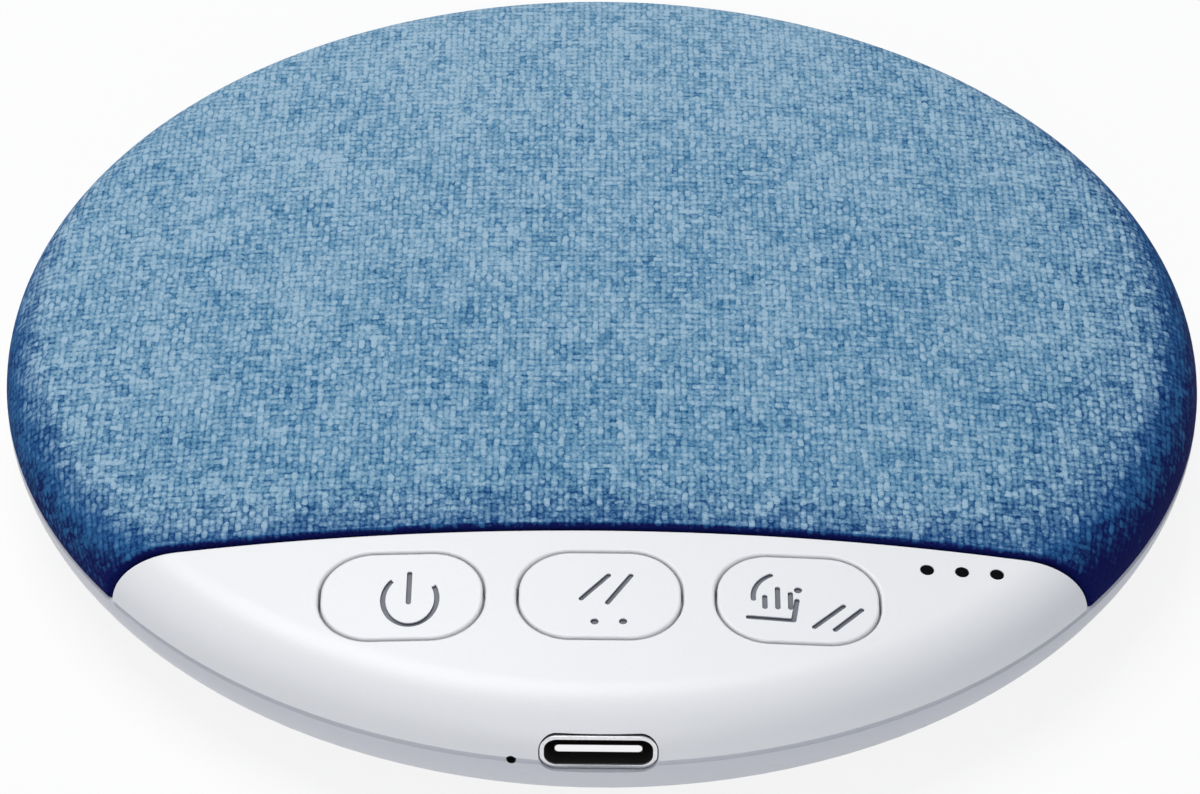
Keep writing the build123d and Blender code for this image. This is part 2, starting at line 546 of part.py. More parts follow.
# The perforated dome that carries the cloth, with the speaker's seat and the screw bosses under it.
with BuildPart() as grille_dome:
    with BuildSketch(Plane.XY.offset(SEAM_HEIGHT)):
        with Locations((SPEAKER_X, SPEAKER_Y)):
            Circle(SPEAKER_RADIUS)
            Circle(SPEAKER_RADIUS - SEAT_WIDTH, mode=Mode.SUBTRACT)
        with Locations(*EARS):
            Circle(EAR_RADIUS)
        with Locations(*CASE_SCREW_PLACES):
            Circle(CASE_BOSS_RADIUS)
        with Locations(*TAB_PLACES):
            Circle(PANEL_BOSS_RADIUS)
    extrude(amount=DOME_RISE)
    add(under_dome(DOME_INSET - DOME_WALL / 2), mode=Mode.INTERSECT)
    round_bar([(SPEAKER_X, SPEAKER_Y)], SPEAKER_RADIUS + BOSS_GAP, SEAM_HEIGHT, SEAT_Z, Mode.SUBTRACT)
    round_bar(EARS, EAR_RADIUS + SCREW_CLEARANCE, SEAM_HEIGHT, FLANGE_TOP, Mode.SUBTRACT)
    round_bar(CASE_SCREW_PLACES, CASE_BOSS_RADIUS, SEAM_HEIGHT, SEAM_HEIGHT + BOSS_GAP / 2, Mode.SUBTRACT)
    round_bar(TAB_PLACES, PANEL_BOSS_RADIUS + SCREW_CLEARANCE, SEAM_HEIGHT, TAB_TOP, Mode.SUBTRACT)
    add(dome_shell(FABRIC_THICKNESS, DOME_INSET))
    with BuildSketch(Plane.XY.offset(SEAM_HEIGHT)):
        Circle(DISC_RADIUS)
        Circle(LIP_OUTER, mode=Mode.SUBTRACT)
    extrude(amount=FABRIC_THICKNESS, mode=Mode.SUBTRACT)
    add(over_panel(PANEL_GAP / 2 + FABRIC_THICKNESS), mode=Mode.SUBTRACT)
    round_bar(EARS, SMALL_PILOT, SEAM_HEIGHT, EAR_BOTTOM + SMALL_PILOT_REACH, Mode.SUBTRACT)
    round_bar(TAB_PLACES, SMALL_PILOT, SEAM_HEIGHT, TAB_BOTTOM + SMALL_PILOT_REACH, Mode.SUBTRACT)
    case_pilot_top = CASE_SEAT_Z + CASE_SCREW_LENGTH + PILOT_SPARE
    round_bar(CASE_SCREW_PLACES, CASE_SCREW_SHANK + PILOT_CLEARANCE, SEAM_HEIGHT, case_pilot_top, Mode.SUBTRACT)
    grille_places = [(SPEAKER_X, SPEAKER_Y)]
    for ring in range(1, GRILLE_RINGS + 1):
        for step in range(6 * ring):
            turn = radians(step * 60 / ring)
            reach = ring * GRILLE_PITCH
            grille_places.append((SPEAKER_X + reach * cos(turn), SPEAKER_Y + reach * sin(turn)))
    round_bar(grille_places, GRILLE_HOLE_RADIUS, SEAM_HEIGHT, TOP_Z, Mode.SUBTRACT)

# The cloth: stretched over the dome, folded down beside the panel and hemmed under the rim.
with BuildPart() as seam_fold:
    add(dome_shell(0, FABRIC_FOLD_DEPTH))
    add(over_panel(PANEL_GAP / 2 + FABRIC_THICKNESS), mode=Mode.INTERSECT)
with BuildPart() as fabric_cover:
    add(dome_shell(0, FABRIC_THICKNESS))
    with BuildSketch(Plane.XY.offset(SEAM_HEIGHT)):
        Circle(DISC_RADIUS - FABRIC_THICKNESS / 2)
        Circle(DISC_RADIUS - HEM_WIDTH, mode=Mode.SUBTRACT)
    extrude(amount=FABRIC_THICKNESS)
    add(seam_fold.part)
    add(over_panel(PANEL_GAP / 2), mode=Mode.SUBTRACT)

# The white control panel: a slice of the same dome, with its key openings and two screw tabs.
with BuildPart() as panel_flange:
    add(under_dome(PANEL_WALL / 2))
    add(over_panel(-PANEL_GAP / 2), mode=Mode.INTERSECT)
    add(over_panel(-PANEL_GAP / 2 - PANEL_FLANGE), mode=Mode.SUBTRACT)
    with BuildSketch(Plane.XY.offset(SEAM_HEIGHT)):
        Circle(DISC_RADIUS)
    extrude(amount=PANEL_TAB_DROP, mode=Mode.SUBTRACT)
with BuildPart() as control_panel:
    add(dome_shell(0, PANEL_WALL))
    add(over_panel(-PANEL_GAP / 2), mode=Mode.INTERSECT)
    for x in KEY_XS:
        add(key_prism(x, KEY_CLEARANCE, SEAM_HEIGHT, 2 * TOP_Z), mode=Mode.SUBTRACT)
    fillet(control_panel.edges().filter_by(on_skin), EDGE_ROUND)
    add(parting_groove(), mode=Mode.SUBTRACT)
    add(panel_flange.part)
    tab_length = PANEL_TAB_Y + PANEL_BOSS_RADIUS - (PANEL_EDGE_Y - PANEL_FLANGE)
    tab_y = PANEL_TAB_Y + PANEL_BOSS_RADIUS - tab_length / 2
    for side in (-1, 1):
        block(side * PANEL_TAB_X, tab_y, (PANEL_TAB_WIDTH, tab_length, PANEL_TAB_THICKNESS), TAB_BOTTOM)
    round_bar(TAB_PLACES, SMALL_SCREW_SHANK + SCREW_CLEARANCE, TAB_BOTTOM, TAB_TOP, Mode.SUBTRACT)
    round_bar(LIGHT_PLACES, LIGHT_RADIUS + LIGHT_CLEARANCE, LIGHT_BAR_TOP, TOP_Z, Mode.SUBTRACT)
    add(usb_prism(USB_CASE_CLEARANCE, -DISC_RADIUS - 1, 1 - LIP_INNER), mode=Mode.SUBTRACT)
    add(pinhole(), mode=Mode.SUBTRACT)


# ---------------------------------------------------------------- keys and switches
def key(x, symbol):
    """A key: a hollow cap flush with the panel, a retaining flange, a stem and an engraved symbol."""
    with BuildSketch() as marks:
        symbol()
    with BuildPart() as engraving:
        with BuildSketch(Plane((x, KEY_Y, SEAM_HEIGHT))):
            add(marks.sketch)
        extrude(amount=2 * DOME_RISE)
        add(under_dome(SYMBOL_DEPTH), mode=Mode.SUBTRACT)
    with BuildPart() as cap:
        add(key_prism(x, 0, SEAM_HEIGHT, TOP_Z))
        add(dome_shell(0, KEY_DROP), mode=Mode.INTERSECT)
        fillet(cap.edges().filter_by(on_skin), EDGE_ROUND)
        add(key_flange(x))
        add(key_hollow(x), mode=Mode.SUBTRACT)
        round_bar([(x, KEY_Y)], KEY_STEM_RADIUS, PLUNGER_TOP, TOP_Z - KEY_DROP)
        add(engraving.part, mode=Mode.SUBTRACT)
    return cap.part


def key_flange(x):
    """The flange that keeps a key from coming out, parallel to the inside of the panel."""
    with BuildPart() as flange:
        add(key_prism(x, KEY_FLANGE + KEY_CLEARANCE, SEAM_HEIGHT, TOP_Z))
        add(dome_shell(KEY_DROP - KEY_FLANGE_THICKNESS, KEY_DROP), mode=Mode.INTERSECT)
    return flange.part


def key_hollow(x):
    """The hollow under a key's skin."""
    with BuildPart() as hollow:
        add(key_prism(x, -KEY_SIDE, SEAM_HEIGHT, TOP_Z))
        add(under_dome(KEY_SKIN), mode=Mode.INTERSECT)
        round_bar([(x, KEY_Y)], KEY_STEM_RADIUS, SEAM_HEIGHT, TOP_Z, Mode.SUBTRACT)
    return hollow.part


def plunger(x):
    """The moving plunger of a switch."""
    with BuildPart() as pin:
        round_bar([(x, KEY_Y)], PLUNGER_RADIUS, SWITCH_TOP - PLUNGER_SUNK, PLUNGER_TOP)
    return pin.part


with BuildPart() as power_button:
    add(key(KEY_XS[0], power_symbol))
with BuildPart() as sound_button:
    add(key(KEY_XS[1], sound_symbol))
with BuildPart() as track_button:
    add(key(KEY_XS[2], track_symbol))
with BuildPart() as power_plunger:
    add(plunger(KEY_XS[0]))
with BuildPart() as sound_plunger:
    add(plunger(KEY_XS[1]))
with BuildPart() as track_plunger:
    add(plunger(KEY_XS[2]))

with BuildPart() as switch_housings:
    switch_places = [(x, KEY_Y) for x in KEY_XS]
    for x in KEY_XS:
        block(x, KEY_Y, (SWITCH_SIDE, SWITCH_SIDE, SWITCH_HEIGHT), BOARD_TOP)
    bore_bottom = SWITCH_TOP - PLUNGER_SUNK - KEY_TRAVEL - 2 * PLUNGER_CLEARANCE
    round_bar(switch_places, PLUNGER_RADIUS + PLUNGER_CLEARANCE, bore_bottom, SWITCH_TOP, Mode.SUBTRACT)

# One clear moulding with three pins that end in the panel as windows.
with BuildPart() as light_guide:
    block(LIGHT_X, LIGHT_BAR_Y, LIGHT_BAR, LIGHT_BAR_BOTTOM)
    round_bar(LIGHT_PLACES, LIGHT_RADIUS, LIGHT_BAR_TOP, TOP_Z)
    add(under_dome(0), mode=Mode.INTERSECT)

with BuildPart() as indicator_lamps:
    for x in LIGHT_XS:
        block(x, LIGHT_Y + LED_SETBACK, LED_SIZE, BOARD_TOP)

# ---------------------------------------------------------------- USB-C receptacle
with BuildPart() as usb_shell:
    add(usb_prism(0, USB_MOUTH_Y, USB_REAR_Y))
    add(usb_prism(-USB_SHELL_WALL, USB_MOUTH_Y - 1, USB_REAR_Y + 1), mode=Mode.SUBTRACT)
    for side in (-1, 1):
        wing_x = side * (USB_SHELL[0] / 2 - USB_WING_SUNK + USB_WING[0] / 2)
        block(wing_x, USB_WING_Y, USB_WING, BOARD_TOP)

with BuildPart() as usb_tongue:
    add(usb_prism(-USB_SHELL_WALL, USB_REAR_Y - USB_BACK_BLOCK, USB_REAR_Y))
    tongue_length = USB_LENGTH - USB_BACK_BLOCK - USB_TONGUE_SET_IN
    tongue_y = USB_MOUTH_Y + USB_TONGUE_SET_IN + tongue_length / 2
    tongue_size = (USB_TONGUE[0], tongue_length, USB_TONGUE[1])
    block(0, tongue_y, tongue_size, USB_Z - USB_TONGUE[1] / 2)

with BuildPart() as usb_contacts:
    contact_y = USB_MOUTH_Y + USB_TONGUE_SET_IN + USB_CONTACT_SET_IN + USB_CONTACT[1] / 2
    contact_row = GridLocations(USB_CONTACT_PITCH, 1, USB_CONTACTS_PER_SIDE, 1)
    for contact_z in (USB_Z + USB_TONGUE[1] / 2, USB_Z - USB_TONGUE[1] / 2 - USB_CONTACT[2]):
        for spot in contact_row:
            block(spot.position.X, contact_y, USB_CONTACT, contact_z)

# ---------------------------------------------------------------- main board and what is soldered to it
with BuildPart() as main_board:
    with BuildSketch(Plane.XY.offset(BOARD_BOTTOM)):
        Circle(BOARD_RADIUS)
        with Locations((0, BOARD_REAR_Y - DISC_RADIUS / 2)):
            Rectangle(2 * DISC_RADIUS, DISC_RADIUS, mode=Mode.INTERSECT)
    extrude(amount=BOARD_THICKNESS)
    fillet(main_board.edges().filter_by(Axis.Z), BOARD_CORNER)
    board_hole = SMALL_SCREW_SHANK + SCREW_CLEARANCE
    round_bar(BOARD_SCREW_PLACES, board_hole, BOARD_BOTTOM, BOARD_TOP, Mode.SUBTRACT)
    notch_depth = BOARD_RADIUS + USB_REAR_Y + USB_NOTCH_CLEARANCE
    notch_size = (USB_SHELL[0] + 2 * USB_NOTCH_CLEARANCE, notch_depth, BOARD_THICKNESS)
    block(0, notch_depth / 2 - BOARD_RADIUS, notch_size, BOARD_BOTTOM, Mode.SUBTRACT)

with BuildPart() as processor:
    block(*on_board(PROCESSOR_PLACE), PROCESSOR, BOARD_TOP)
    chamfer(processor.faces().sort_by(Axis.Z)[-1].edges(), CHIP_BREAK)
with BuildPart() as wireless_module:
    block(*on_board(WIRELESS_PLACE), WIRELESS, BOARD_TOP)
    fillet(wireless_module.edges().filter_by(Axis.Z), CHIP_ROUND)
with BuildPart() as flash_memory:
    block(*on_board(MEMORY_PLACE), MEMORY, BOARD_TOP)
    chamfer(flash_memory.faces().sort_by(Axis.Z)[-1].edges(), CHIP_BREAK)
with BuildPart() as amplifier:
    block(*on_board(AMPLIFIER_PLACE), AMPLIFIER, BOARD_TOP)
    chamfer(amplifier.faces().sort_by(Axis.Z)[-1].edges(), CHIP_BREAK)
with BuildPart() as charging_chip:
    block(*on_board(CHARGER_PLACE), CHARGER, BOARD_TOP)
    chamfer(charging_chip.faces().sort_by(Axis.Z)[-1].edges(), CHIP_BREAK)
with BuildPart() as inductor:
    block(*on_board(INDUCTOR_PLACE), INDUCTOR, BOARD_TOP)
    fillet(inductor.edges().filter_by(Axis.Z), CHIP_ROUND)
with BuildPart() as capacitors:
    for place in CAPACITOR_PLACES:
        block(*on_board(place), CAPACITOR, BOARD_TOP)
with BuildPart() as microphone:
    block(PINHOLE_X, MICROPHONE_Y, MICROPHONE, BOARD_TOP)
    fillet(microphone.edges().filter_by(Axis.Z), CHIP_ROUND)


def lead_socket(x):
    """A socket under the board, open to the rear."""
    with BuildPart() as housing:
        socket_y = BOARD_REAR_Y - SOCKET[1] / 2
        block(x, socket_y, SOCKET, BOARD_BOTTOM - SOCKET[2])
        room = (PLUG[0] + 2 * PLUG_CLEARANCE, PLUG_INSERTED + PLUG_CLEARANCE, PLUG[2] + 2 * PLUG_CLEARANCE)
        block(x, BOARD_REAR_Y - room[1] / 2, room, SOCKET_Z - room[2] / 2, Mode.SUBTRACT)
    return housing.part


def lead_plug(x):
    """A plug on a pair of leads, pushed into its socket."""
    with BuildPart() as housing:
        block(x, PLUG_REAR_Y - PLUG[1] / 2, PLUG, SOCKET_Z - PLUG[2] / 2)
        fillet(housing.edges().filter_by(Axis.Y), CHIP_BREAK)
    return housing.part


def wire(*route):
    """A round lead along a route with rounded corners."""
    with BuildPart() as lead:
        with BuildLine() as path:
            FilletPolyline(*route, radius=WIRE_BEND)
        with BuildSketch(Plane(path.line @ 0, z_dir=path.line % 0)):
            Circle(WIRE_RADIUS)
        sweep()
    return lead.part


with BuildPart() as battery_socket:
    add(lead_socket(-SOCKET_X))
with BuildPart() as speaker_socket:
    add(lead_socket(SOCKET_X))
with BuildPart() as battery_plug:
    add(lead_plug(-SOCKET_X))
with BuildPart() as speaker_plug:
    add(lead_plug(SOCKET_X))

# ---------------------------------------------------------------- battery
with BuildPart() as battery_tape:
    block(BATTERY_X, BATTERY_Y, (*BATTERY_TAPE_AREA, BATTERY_TAPE), FLOOR_Z)

with BuildPart() as battery_cell:
    block(BATTERY_X, BATTERY_Y, BATTERY, BATTERY_BOTTOM)
    fillet(battery_cell.edges().filter_by(Axis.Y), BATTERY_EDGE)

with BuildPart() as battery_board:
    block(BATTERY_X, BATTERY_FRONT_Y - BATTERY_LEDGE[1] / 2, BATTERY_LEDGE, SOCKET_Z - BATTERY_LEDGE[2] / 2)

with BuildPart() as battery_lead_red:
    red_x = BATTERY_X - WIRE_SPACING / 2
    red_plug_x = -SOCKET_X - WIRE_SPACING / 2
    add(wire(
        (red_x, LEDGE_FRONT_Y, SOCKET_Z), (red_x, LEAD_TURN_Y - WIRE_SPACING, SOCKET_Z),
        (red_plug_x, LEAD_TURN_Y - WIRE_SPACING, SOCKET_Z), (red_plug_x, PLUG_REAR_Y, SOCKET_Z),
    ))

with BuildPart() as battery_lead_black:
    black_x = BATTERY_X + WIRE_SPACING / 2
    black_plug_x = -SOCKET_X + WIRE_SPACING / 2
    add(wire(
        (black_x, LEDGE_FRONT_Y, SOCKET_Z), (black_x, LEAD_TURN_Y, SOCKET_Z),
        (black_plug_x, LEAD_TURN_Y, SOCKET_Z), (black_plug_x, PLUG_REAR_Y, SOCKET_Z),
    ))


# ---------------------------------------------------------------- speaker
def spun(*section):
    """A ring-shaped body of the speaker, from a section of (radius, height) points."""
    with BuildPart() as body:
        with BuildSketch(SPEAKER_SECTION):
            with BuildLine():
                Polyline(*section, close=True)
            make_face()
        revolve(axis=SPEAKER_AXIS)
    return body.part


with BuildPart() as speaker_pad:
    round_bar([(SPEAKER_X, SPEAKER_Y)], YOKE_RADIUS, FLOOR_Z, YOKE_BOTTOM)

with BuildPart() as speaker_yoke:
    round_bar([(SPEAKER_X, SPEAKER_Y)], YOKE_RADIUS, YOKE_BOTTOM, YOKE_BOTTOM + YOKE_HEIGHT)
    round_bar([(SPEAKER_X, SPEAKER_Y)], YOKE_RADIUS - YOKE_WALL, MAGNET_BOTTOM, FLANGE_TOP, Mode.SUBTRACT)

with BuildPart() as speaker_magnet:
    round_bar([(SPEAKER_X, SPEAKER_Y)], MAGNET_RADIUS, MAGNET_BOTTOM, MAGNET_TOP)

with BuildPart() as pole_plate:
    round_bar([(SPEAKER_X, SPEAKER_Y)], POLE_RADIUS, MAGNET_TOP, MAGNET_TOP + POLE_THICKNESS)

# Pressed frame: a flange with three ears, a slanted wall with windows and a ring around the yoke.
with BuildPart() as speaker_basket:
    add(spun(
        (SPEAKER_RADIUS, FLANGE_TOP), (SPEAKER_RADIUS, EAR_BOTTOM),
        (FLANGE_INNER_RADIUS + BASKET_WALL, EAR_BOTTOM),
        (BASKET_FLOOR_RADIUS + BASKET_WALL, BASKET_FLOOR_Z), (YOKE_RADIUS, BASKET_FLOOR_Z),
        (YOKE_RADIUS, BASKET_FLOOR_Z + BASKET_WALL), (BASKET_FLOOR_RADIUS, BASKET_FLOOR_Z + BASKET_WALL),
        (FLANGE_INNER_RADIUS, EAR_BOTTOM + BASKET_WALL / 2), (FLANGE_INNER_RADIUS, FLANGE_TOP),
    ))
    round_bar(EARS, EAR_RADIUS, EAR_BOTTOM, FLANGE_TOP)
    round_bar(EARS, SMALL_SCREW_SHANK + SCREW_CLEARANCE, EAR_BOTTOM, FLANGE_TOP, Mode.SUBTRACT)
    basket_windows = []
    for step in range(BASKET_HOLES):
        turn = radians((step + 0.5) * 360 / BASKET_HOLES)
        window_x = SPEAKER_X + BASKET_HOLE_CIRCLE * cos(turn)
        basket_windows.append((window_x, SPEAKER_Y + BASKET_HOLE_CIRCLE * sin(turn)))
    round_bar(basket_windows, BASKET_HOLE_RADIUS, BASKET_FLOOR_Z, EAR_BOTTOM, Mode.SUBTRACT)

with BuildPart() as voice_coil:
    round_bar([(SPEAKER_X, SPEAKER_Y)], COIL_RADIUS + COIL_THICKNESS, COIL_BOTTOM, CONE_NECK_Z)
    round_bar([(SPEAKER_X, SPEAKER_Y)], COIL_RADIUS, COIL_BOTTOM, CONE_NECK_Z, Mode.SUBTRACT)

with BuildPart() as speaker_cone:
    neck_outer = COIL_RADIUS + COIL_THICKNESS + CONE_THICKNESS
    add(spun(
        (COIL_RADIUS, CONE_NECK_Z), (neck_outer, CONE_NECK_Z),
        (CONE_RADIUS - CONE_LAND, FLANGE_TOP - CONE_THICKNESS), (CONE_RADIUS, FLANGE_TOP - CONE_THICKNESS),
        (CONE_RADIUS, FLANGE_TOP), (CONE_RADIUS - CONE_LAND, FLANGE_TOP),
        (neck_outer, CONE_NECK_Z + CONE_THICKNESS), (COIL_RADIUS, CONE_NECK_Z + CONE_THICKNESS),
    ))

with BuildPart() as dust_cap:
    cap_radius = (COIL_RADIUS**2 + DUST_CAP_RISE**2) / (2 * DUST_CAP_RISE)
    cap_centre_z = CONE_NECK_Z + CONE_THICKNESS + DUST_CAP_RISE - cap_radius
    with Locations((SPEAKER_X, SPEAKER_Y, cap_centre_z)):
        Sphere(cap_radius)
        Sphere(cap_radius - CONE_THICKNESS, mode=Mode.SUBTRACT)
    cap_low = cap_centre_z - cap_radius
    cap_cut = (3 * cap_radius, 3 * cap_radius, CONE_NECK_Z + CONE_THICKNESS - cap_low)
    block(SPEAKER_X, SPEAKER_Y, cap_cut, cap_low, Mode.SUBTRACT)

# Half-roll edge between the cone and the frame.
with BuildPart() as speaker_surround:
    roll_middle = CONE_RADIUS + SURROUND_ROLL + SURROUND_NECK
    with BuildSketch(SPEAKER_SECTION):
        with Locations((roll_middle, FLANGE_TOP)):
            Circle(SURROUND_ROLL)
            Circle(SURROUND_ROLL - SURROUND_THICKNESS, mode=Mode.SUBTRACT)
        with Locations((roll_middle, FLANGE_TOP - SURROUND_ROLL)):
            Rectangle(3 * SURROUND_ROLL, 2 * SURROUND_ROLL, mode=Mode.SUBTRACT)
        inner_land = roll_middle - SURROUND_ROLL + SURROUND_THICKNESS - (CONE_RADIUS - CONE_LAND)
        outer_land = SPEAKER_RADIUS - (roll_middle + SURROUND_ROLL - SURROUND_THICKNESS)
        with Locations((CONE_RADIUS - CONE_LAND, FLANGE_TOP)):
            Rectangle(inner_land, SURROUND_THICKNESS, align=(Align.MIN, Align.MIN))
        with Locations((SPEAKER_RADIUS, FLANGE_TOP)):
            Rectangle(outer_land, SURROUND_THICKNESS, align=(Align.MAX, Align.MIN))
    revolve(axis=SPEAKER_AXIS)

with BuildPart() as speaker_gasket:
    gasket_bottom = FLANGE_TOP + SURROUND_THICKNESS
    round_bar([(SPEAKER_X, SPEAKER_Y)], SPEAKER_RADIUS, gasket_bottom, SEAT_Z)
    round_bar([(SPEAKER_X, SPEAKER_Y)], SPEAKER_RADIUS - SEAT_WIDTH, gasket_bottom, SEAT_Z, Mode.SUBTRACT)

with BuildPart() as speaker_terminal:
    block(SPEAKER_X, SPEAKER_Y - TERMINAL_OUT, TERMINAL, EAR_BOTTOM - TERMINAL[2])


def speaker_lead(side):
    """A lead from the speaker's plug to its terminal board."""
    start_x = SOCKET_X + side * WIRE_SPACING / 2
    end_x = SPEAKER_X + side * WIRE_SPACING / 2
    end_y = SPEAKER_Y - TERMINAL_OUT
    low_z = SOCKET_Z
    return wire(
        (start_x, PLUG_REAR_Y, low_z), (start_x, PLUG_REAR_Y + 2 * WIRE_BEND, low_z),
        (end_x, end_y - 2 * WIRE_BEND, low_z), (end_x, end_y, low_z), (end_x, end_y, EAR_BOTTOM - TERMINAL[2]),
    )


with BuildPart() as speaker_lead_red:
    add(speaker_lead(-1))
with BuildPart() as speaker_lead_black:
    add(speaker_lead(1))

# ---------------------------------------------------------------- fasteners and feet
with BuildPart() as case_screws:
    screws(CASE_SCREW_PLACES, CASE_SEAT_Z, CASE_SCREW_SHANK, CASE_SCREW_HEAD, CASE_SCREW_LENGTH)
with BuildPart() as panel_screws:
    screws(TAB_PLACES, TAB_BOTTOM, SMALL_SCREW_SHANK, SMALL_SCREW_HEAD, SMALL_SCREW_LENGTH)
with BuildPart() as speaker_screws:
    screws(EARS, EAR_BOTTOM, SMALL_SCREW_SHANK, SMALL_SCREW_HEAD, SMALL_SCREW_LENGTH)
with BuildPart() as board_screws:
    head_radius, head_height = SMALL_SCREW_HEAD
    slot_width, slot_depth = DRIVE_SLOT
    round_bar(BOARD_SCREW_PLACES, head_radius, BOARD_TOP, BOARD_TOP + head_height)
    round_bar(BOARD_SCREW_PLACES, SMALL_SCREW_SHANK, BOARD_TOP - SMALL_SCREW_LENGTH, BOARD_TOP)
    for x, y in BOARD_SCREW_PLACES:
        cross_z = BOARD_TOP + head_height - slot_depth
        block(x, y, (1.3 * head_radius, slot_width, slot_depth), cross_z, Mode.SUBTRACT)
        block(x, y, (slot_width, 1.3 * head_radius, slot_depth), cross_z, Mode.SUBTRACT)

with BuildPart() as rubber_feet:
    round_bar(FOOT_PLACES, FOOT_RADIUS, 0, FOOT_PROUD + FOOT_POCKET)
    fillet(rubber_feet.faces().filter_by(Axis.Z).group_by(Axis.Z)[0].edges(), FOOT_ROUND)

# ---------------------------------------------------------------- export
PIECES = {
    "base_shell": base_shell, "grille_dome": grille_dome, "fabric_cover": fabric_cover,
    "control_panel": control_panel, "power_button": power_button, "sound_button": sound_button,
    "track_button": track_button, "power_plunger": power_plunger, "sound_plunger": sound_plunger,
    "track_plunger": track_plunger, "switch_housings": switch_housings, "light_guide": light_guide,
    "indicator_lamps": indicator_lamps, "usb_shell": usb_shell, "usb_tongue": usb_tongue,
    "usb_contacts": usb_contacts, "main_board": main_board, "processor": processor,
    "wireless_module": wireless_module, "flash_memory": flash_memory, "amplifier": amplifier,
    "charging_chip": charging_chip, "inductor": inductor, "capacitors": capacitors,
    "microphone": microphone, "battery_socket": battery_socket, "speaker_socket": speaker_socket,
    "battery_plug": battery_plug, "speaker_plug": speaker_plug, "battery_tape": battery_tape,
    "battery_cell": battery_cell, "battery_board": battery_board, "battery_lead_red": battery_lead_red,
    "battery_lead_black": battery_lead_black, "speaker_pad": speaker_pad, "speaker_yoke": speaker_yoke,
    "speaker_magnet": speaker_magnet, "pole_plate": pole_plate, "speaker_basket": speaker_basket,
    "voice_coil": voice_coil, "speaker_cone": speaker_cone, "dust_cap": dust_cap,
    "speaker_surround": speaker_surround, "speaker_gasket": speaker_gasket,
    "speaker_terminal": speaker_terminal, "speaker_lead_red": speaker_lead_red,
    "speaker_lead_black": speaker_lead_black, "case_screws": case_screws, "panel_screws": panel_screws,
    "speaker_screws": speaker_screws, "board_screws": board_screws, "rubber_feet": rubber_feet,
}
os.makedirs("parts", exist_ok=True)
for name, piece in PIECES.items():
    piece.part.label = name
    export_step(piece.part, f"parts/{name}.step")
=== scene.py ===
# %% [markdown]
# White noise sound machine: a flat round speaker, 100 mm across, with a cloth dome over a white case. The
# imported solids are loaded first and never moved. Every piece made here lies in the same frame, in metres,
# with +Z up and the control panel towards -Y.

from math import atan2, cos, hypot, pi, radians, sin, sqrt

import bmesh
import bpy
from mathutils import Matrix, Vector


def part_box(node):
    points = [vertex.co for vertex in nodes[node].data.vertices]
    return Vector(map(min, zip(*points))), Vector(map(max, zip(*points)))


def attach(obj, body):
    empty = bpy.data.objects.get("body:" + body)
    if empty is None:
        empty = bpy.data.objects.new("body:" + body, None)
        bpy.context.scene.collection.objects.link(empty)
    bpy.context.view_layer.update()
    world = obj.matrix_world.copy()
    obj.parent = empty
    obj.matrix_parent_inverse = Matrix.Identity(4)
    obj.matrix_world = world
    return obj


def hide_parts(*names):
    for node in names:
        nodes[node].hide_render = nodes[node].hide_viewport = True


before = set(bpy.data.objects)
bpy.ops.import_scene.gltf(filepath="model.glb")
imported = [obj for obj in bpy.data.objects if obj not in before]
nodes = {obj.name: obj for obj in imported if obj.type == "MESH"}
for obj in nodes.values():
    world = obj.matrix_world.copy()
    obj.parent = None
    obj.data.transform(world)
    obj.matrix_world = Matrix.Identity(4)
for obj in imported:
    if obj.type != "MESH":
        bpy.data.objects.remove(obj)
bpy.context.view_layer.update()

# %% [markdown]
# Everything on the outside follows one lens-shaped profile. Above the parting line a large flat arc, the
# crown, runs into a small arc, the shoulder, and the panel, the keys and the cloth are all pieces of that
# skin. So its sizes are named once and each piece asks them for heights and directions.

# %% Sizes of the outside, in metres
MM = 0.001
DISC_RADIUS = 50 * MM
SEAM_HEIGHT = 7.5 * MM
DOME_RISE = 7.5 * MM
DOME_SHOULDER = 4.8 * MM
PANEL_EDGE_Y = -29.6 * MM
PANEL_EDGE_ARC = 430 * MM
PANEL_GAP = 0.4 * MM
KEY_XS = {"power_button": -15.4 * MM, "sound_button": 0.0, "track_button": 15.4 * MM}
KEY_Y = -36.8 * MM
FOLD_DEPTH = 2.3 * MM
HEM_WIDTH = 2.2 * MM

SHOULDER_CENTRE = DISC_RADIUS - DOME_SHOULDER
CROWN_RADIUS = (SHOULDER_CENTRE**2 + DOME_RISE**2 - DOME_SHOULDER**2) / (2 * (DOME_RISE - DOME_SHOULDER))
CROWN_CENTRE_Z = SEAM_HEIGHT + DOME_RISE - CROWN_RADIUS
SHOULDER_ANGLE = atan2(SEAM_HEIGHT - CROWN_CENTRE_Z, SHOULDER_CENTRE)
print("crown radius:", round(CROWN_RADIUS / MM, 1), "mm")

# %% [markdown]
# Node materials get long quickly when every sum needs its own lines. This small class wraps one socket,
# so that maths on sockets is written as plain Python, and `node` adds any other kind of node in one call.


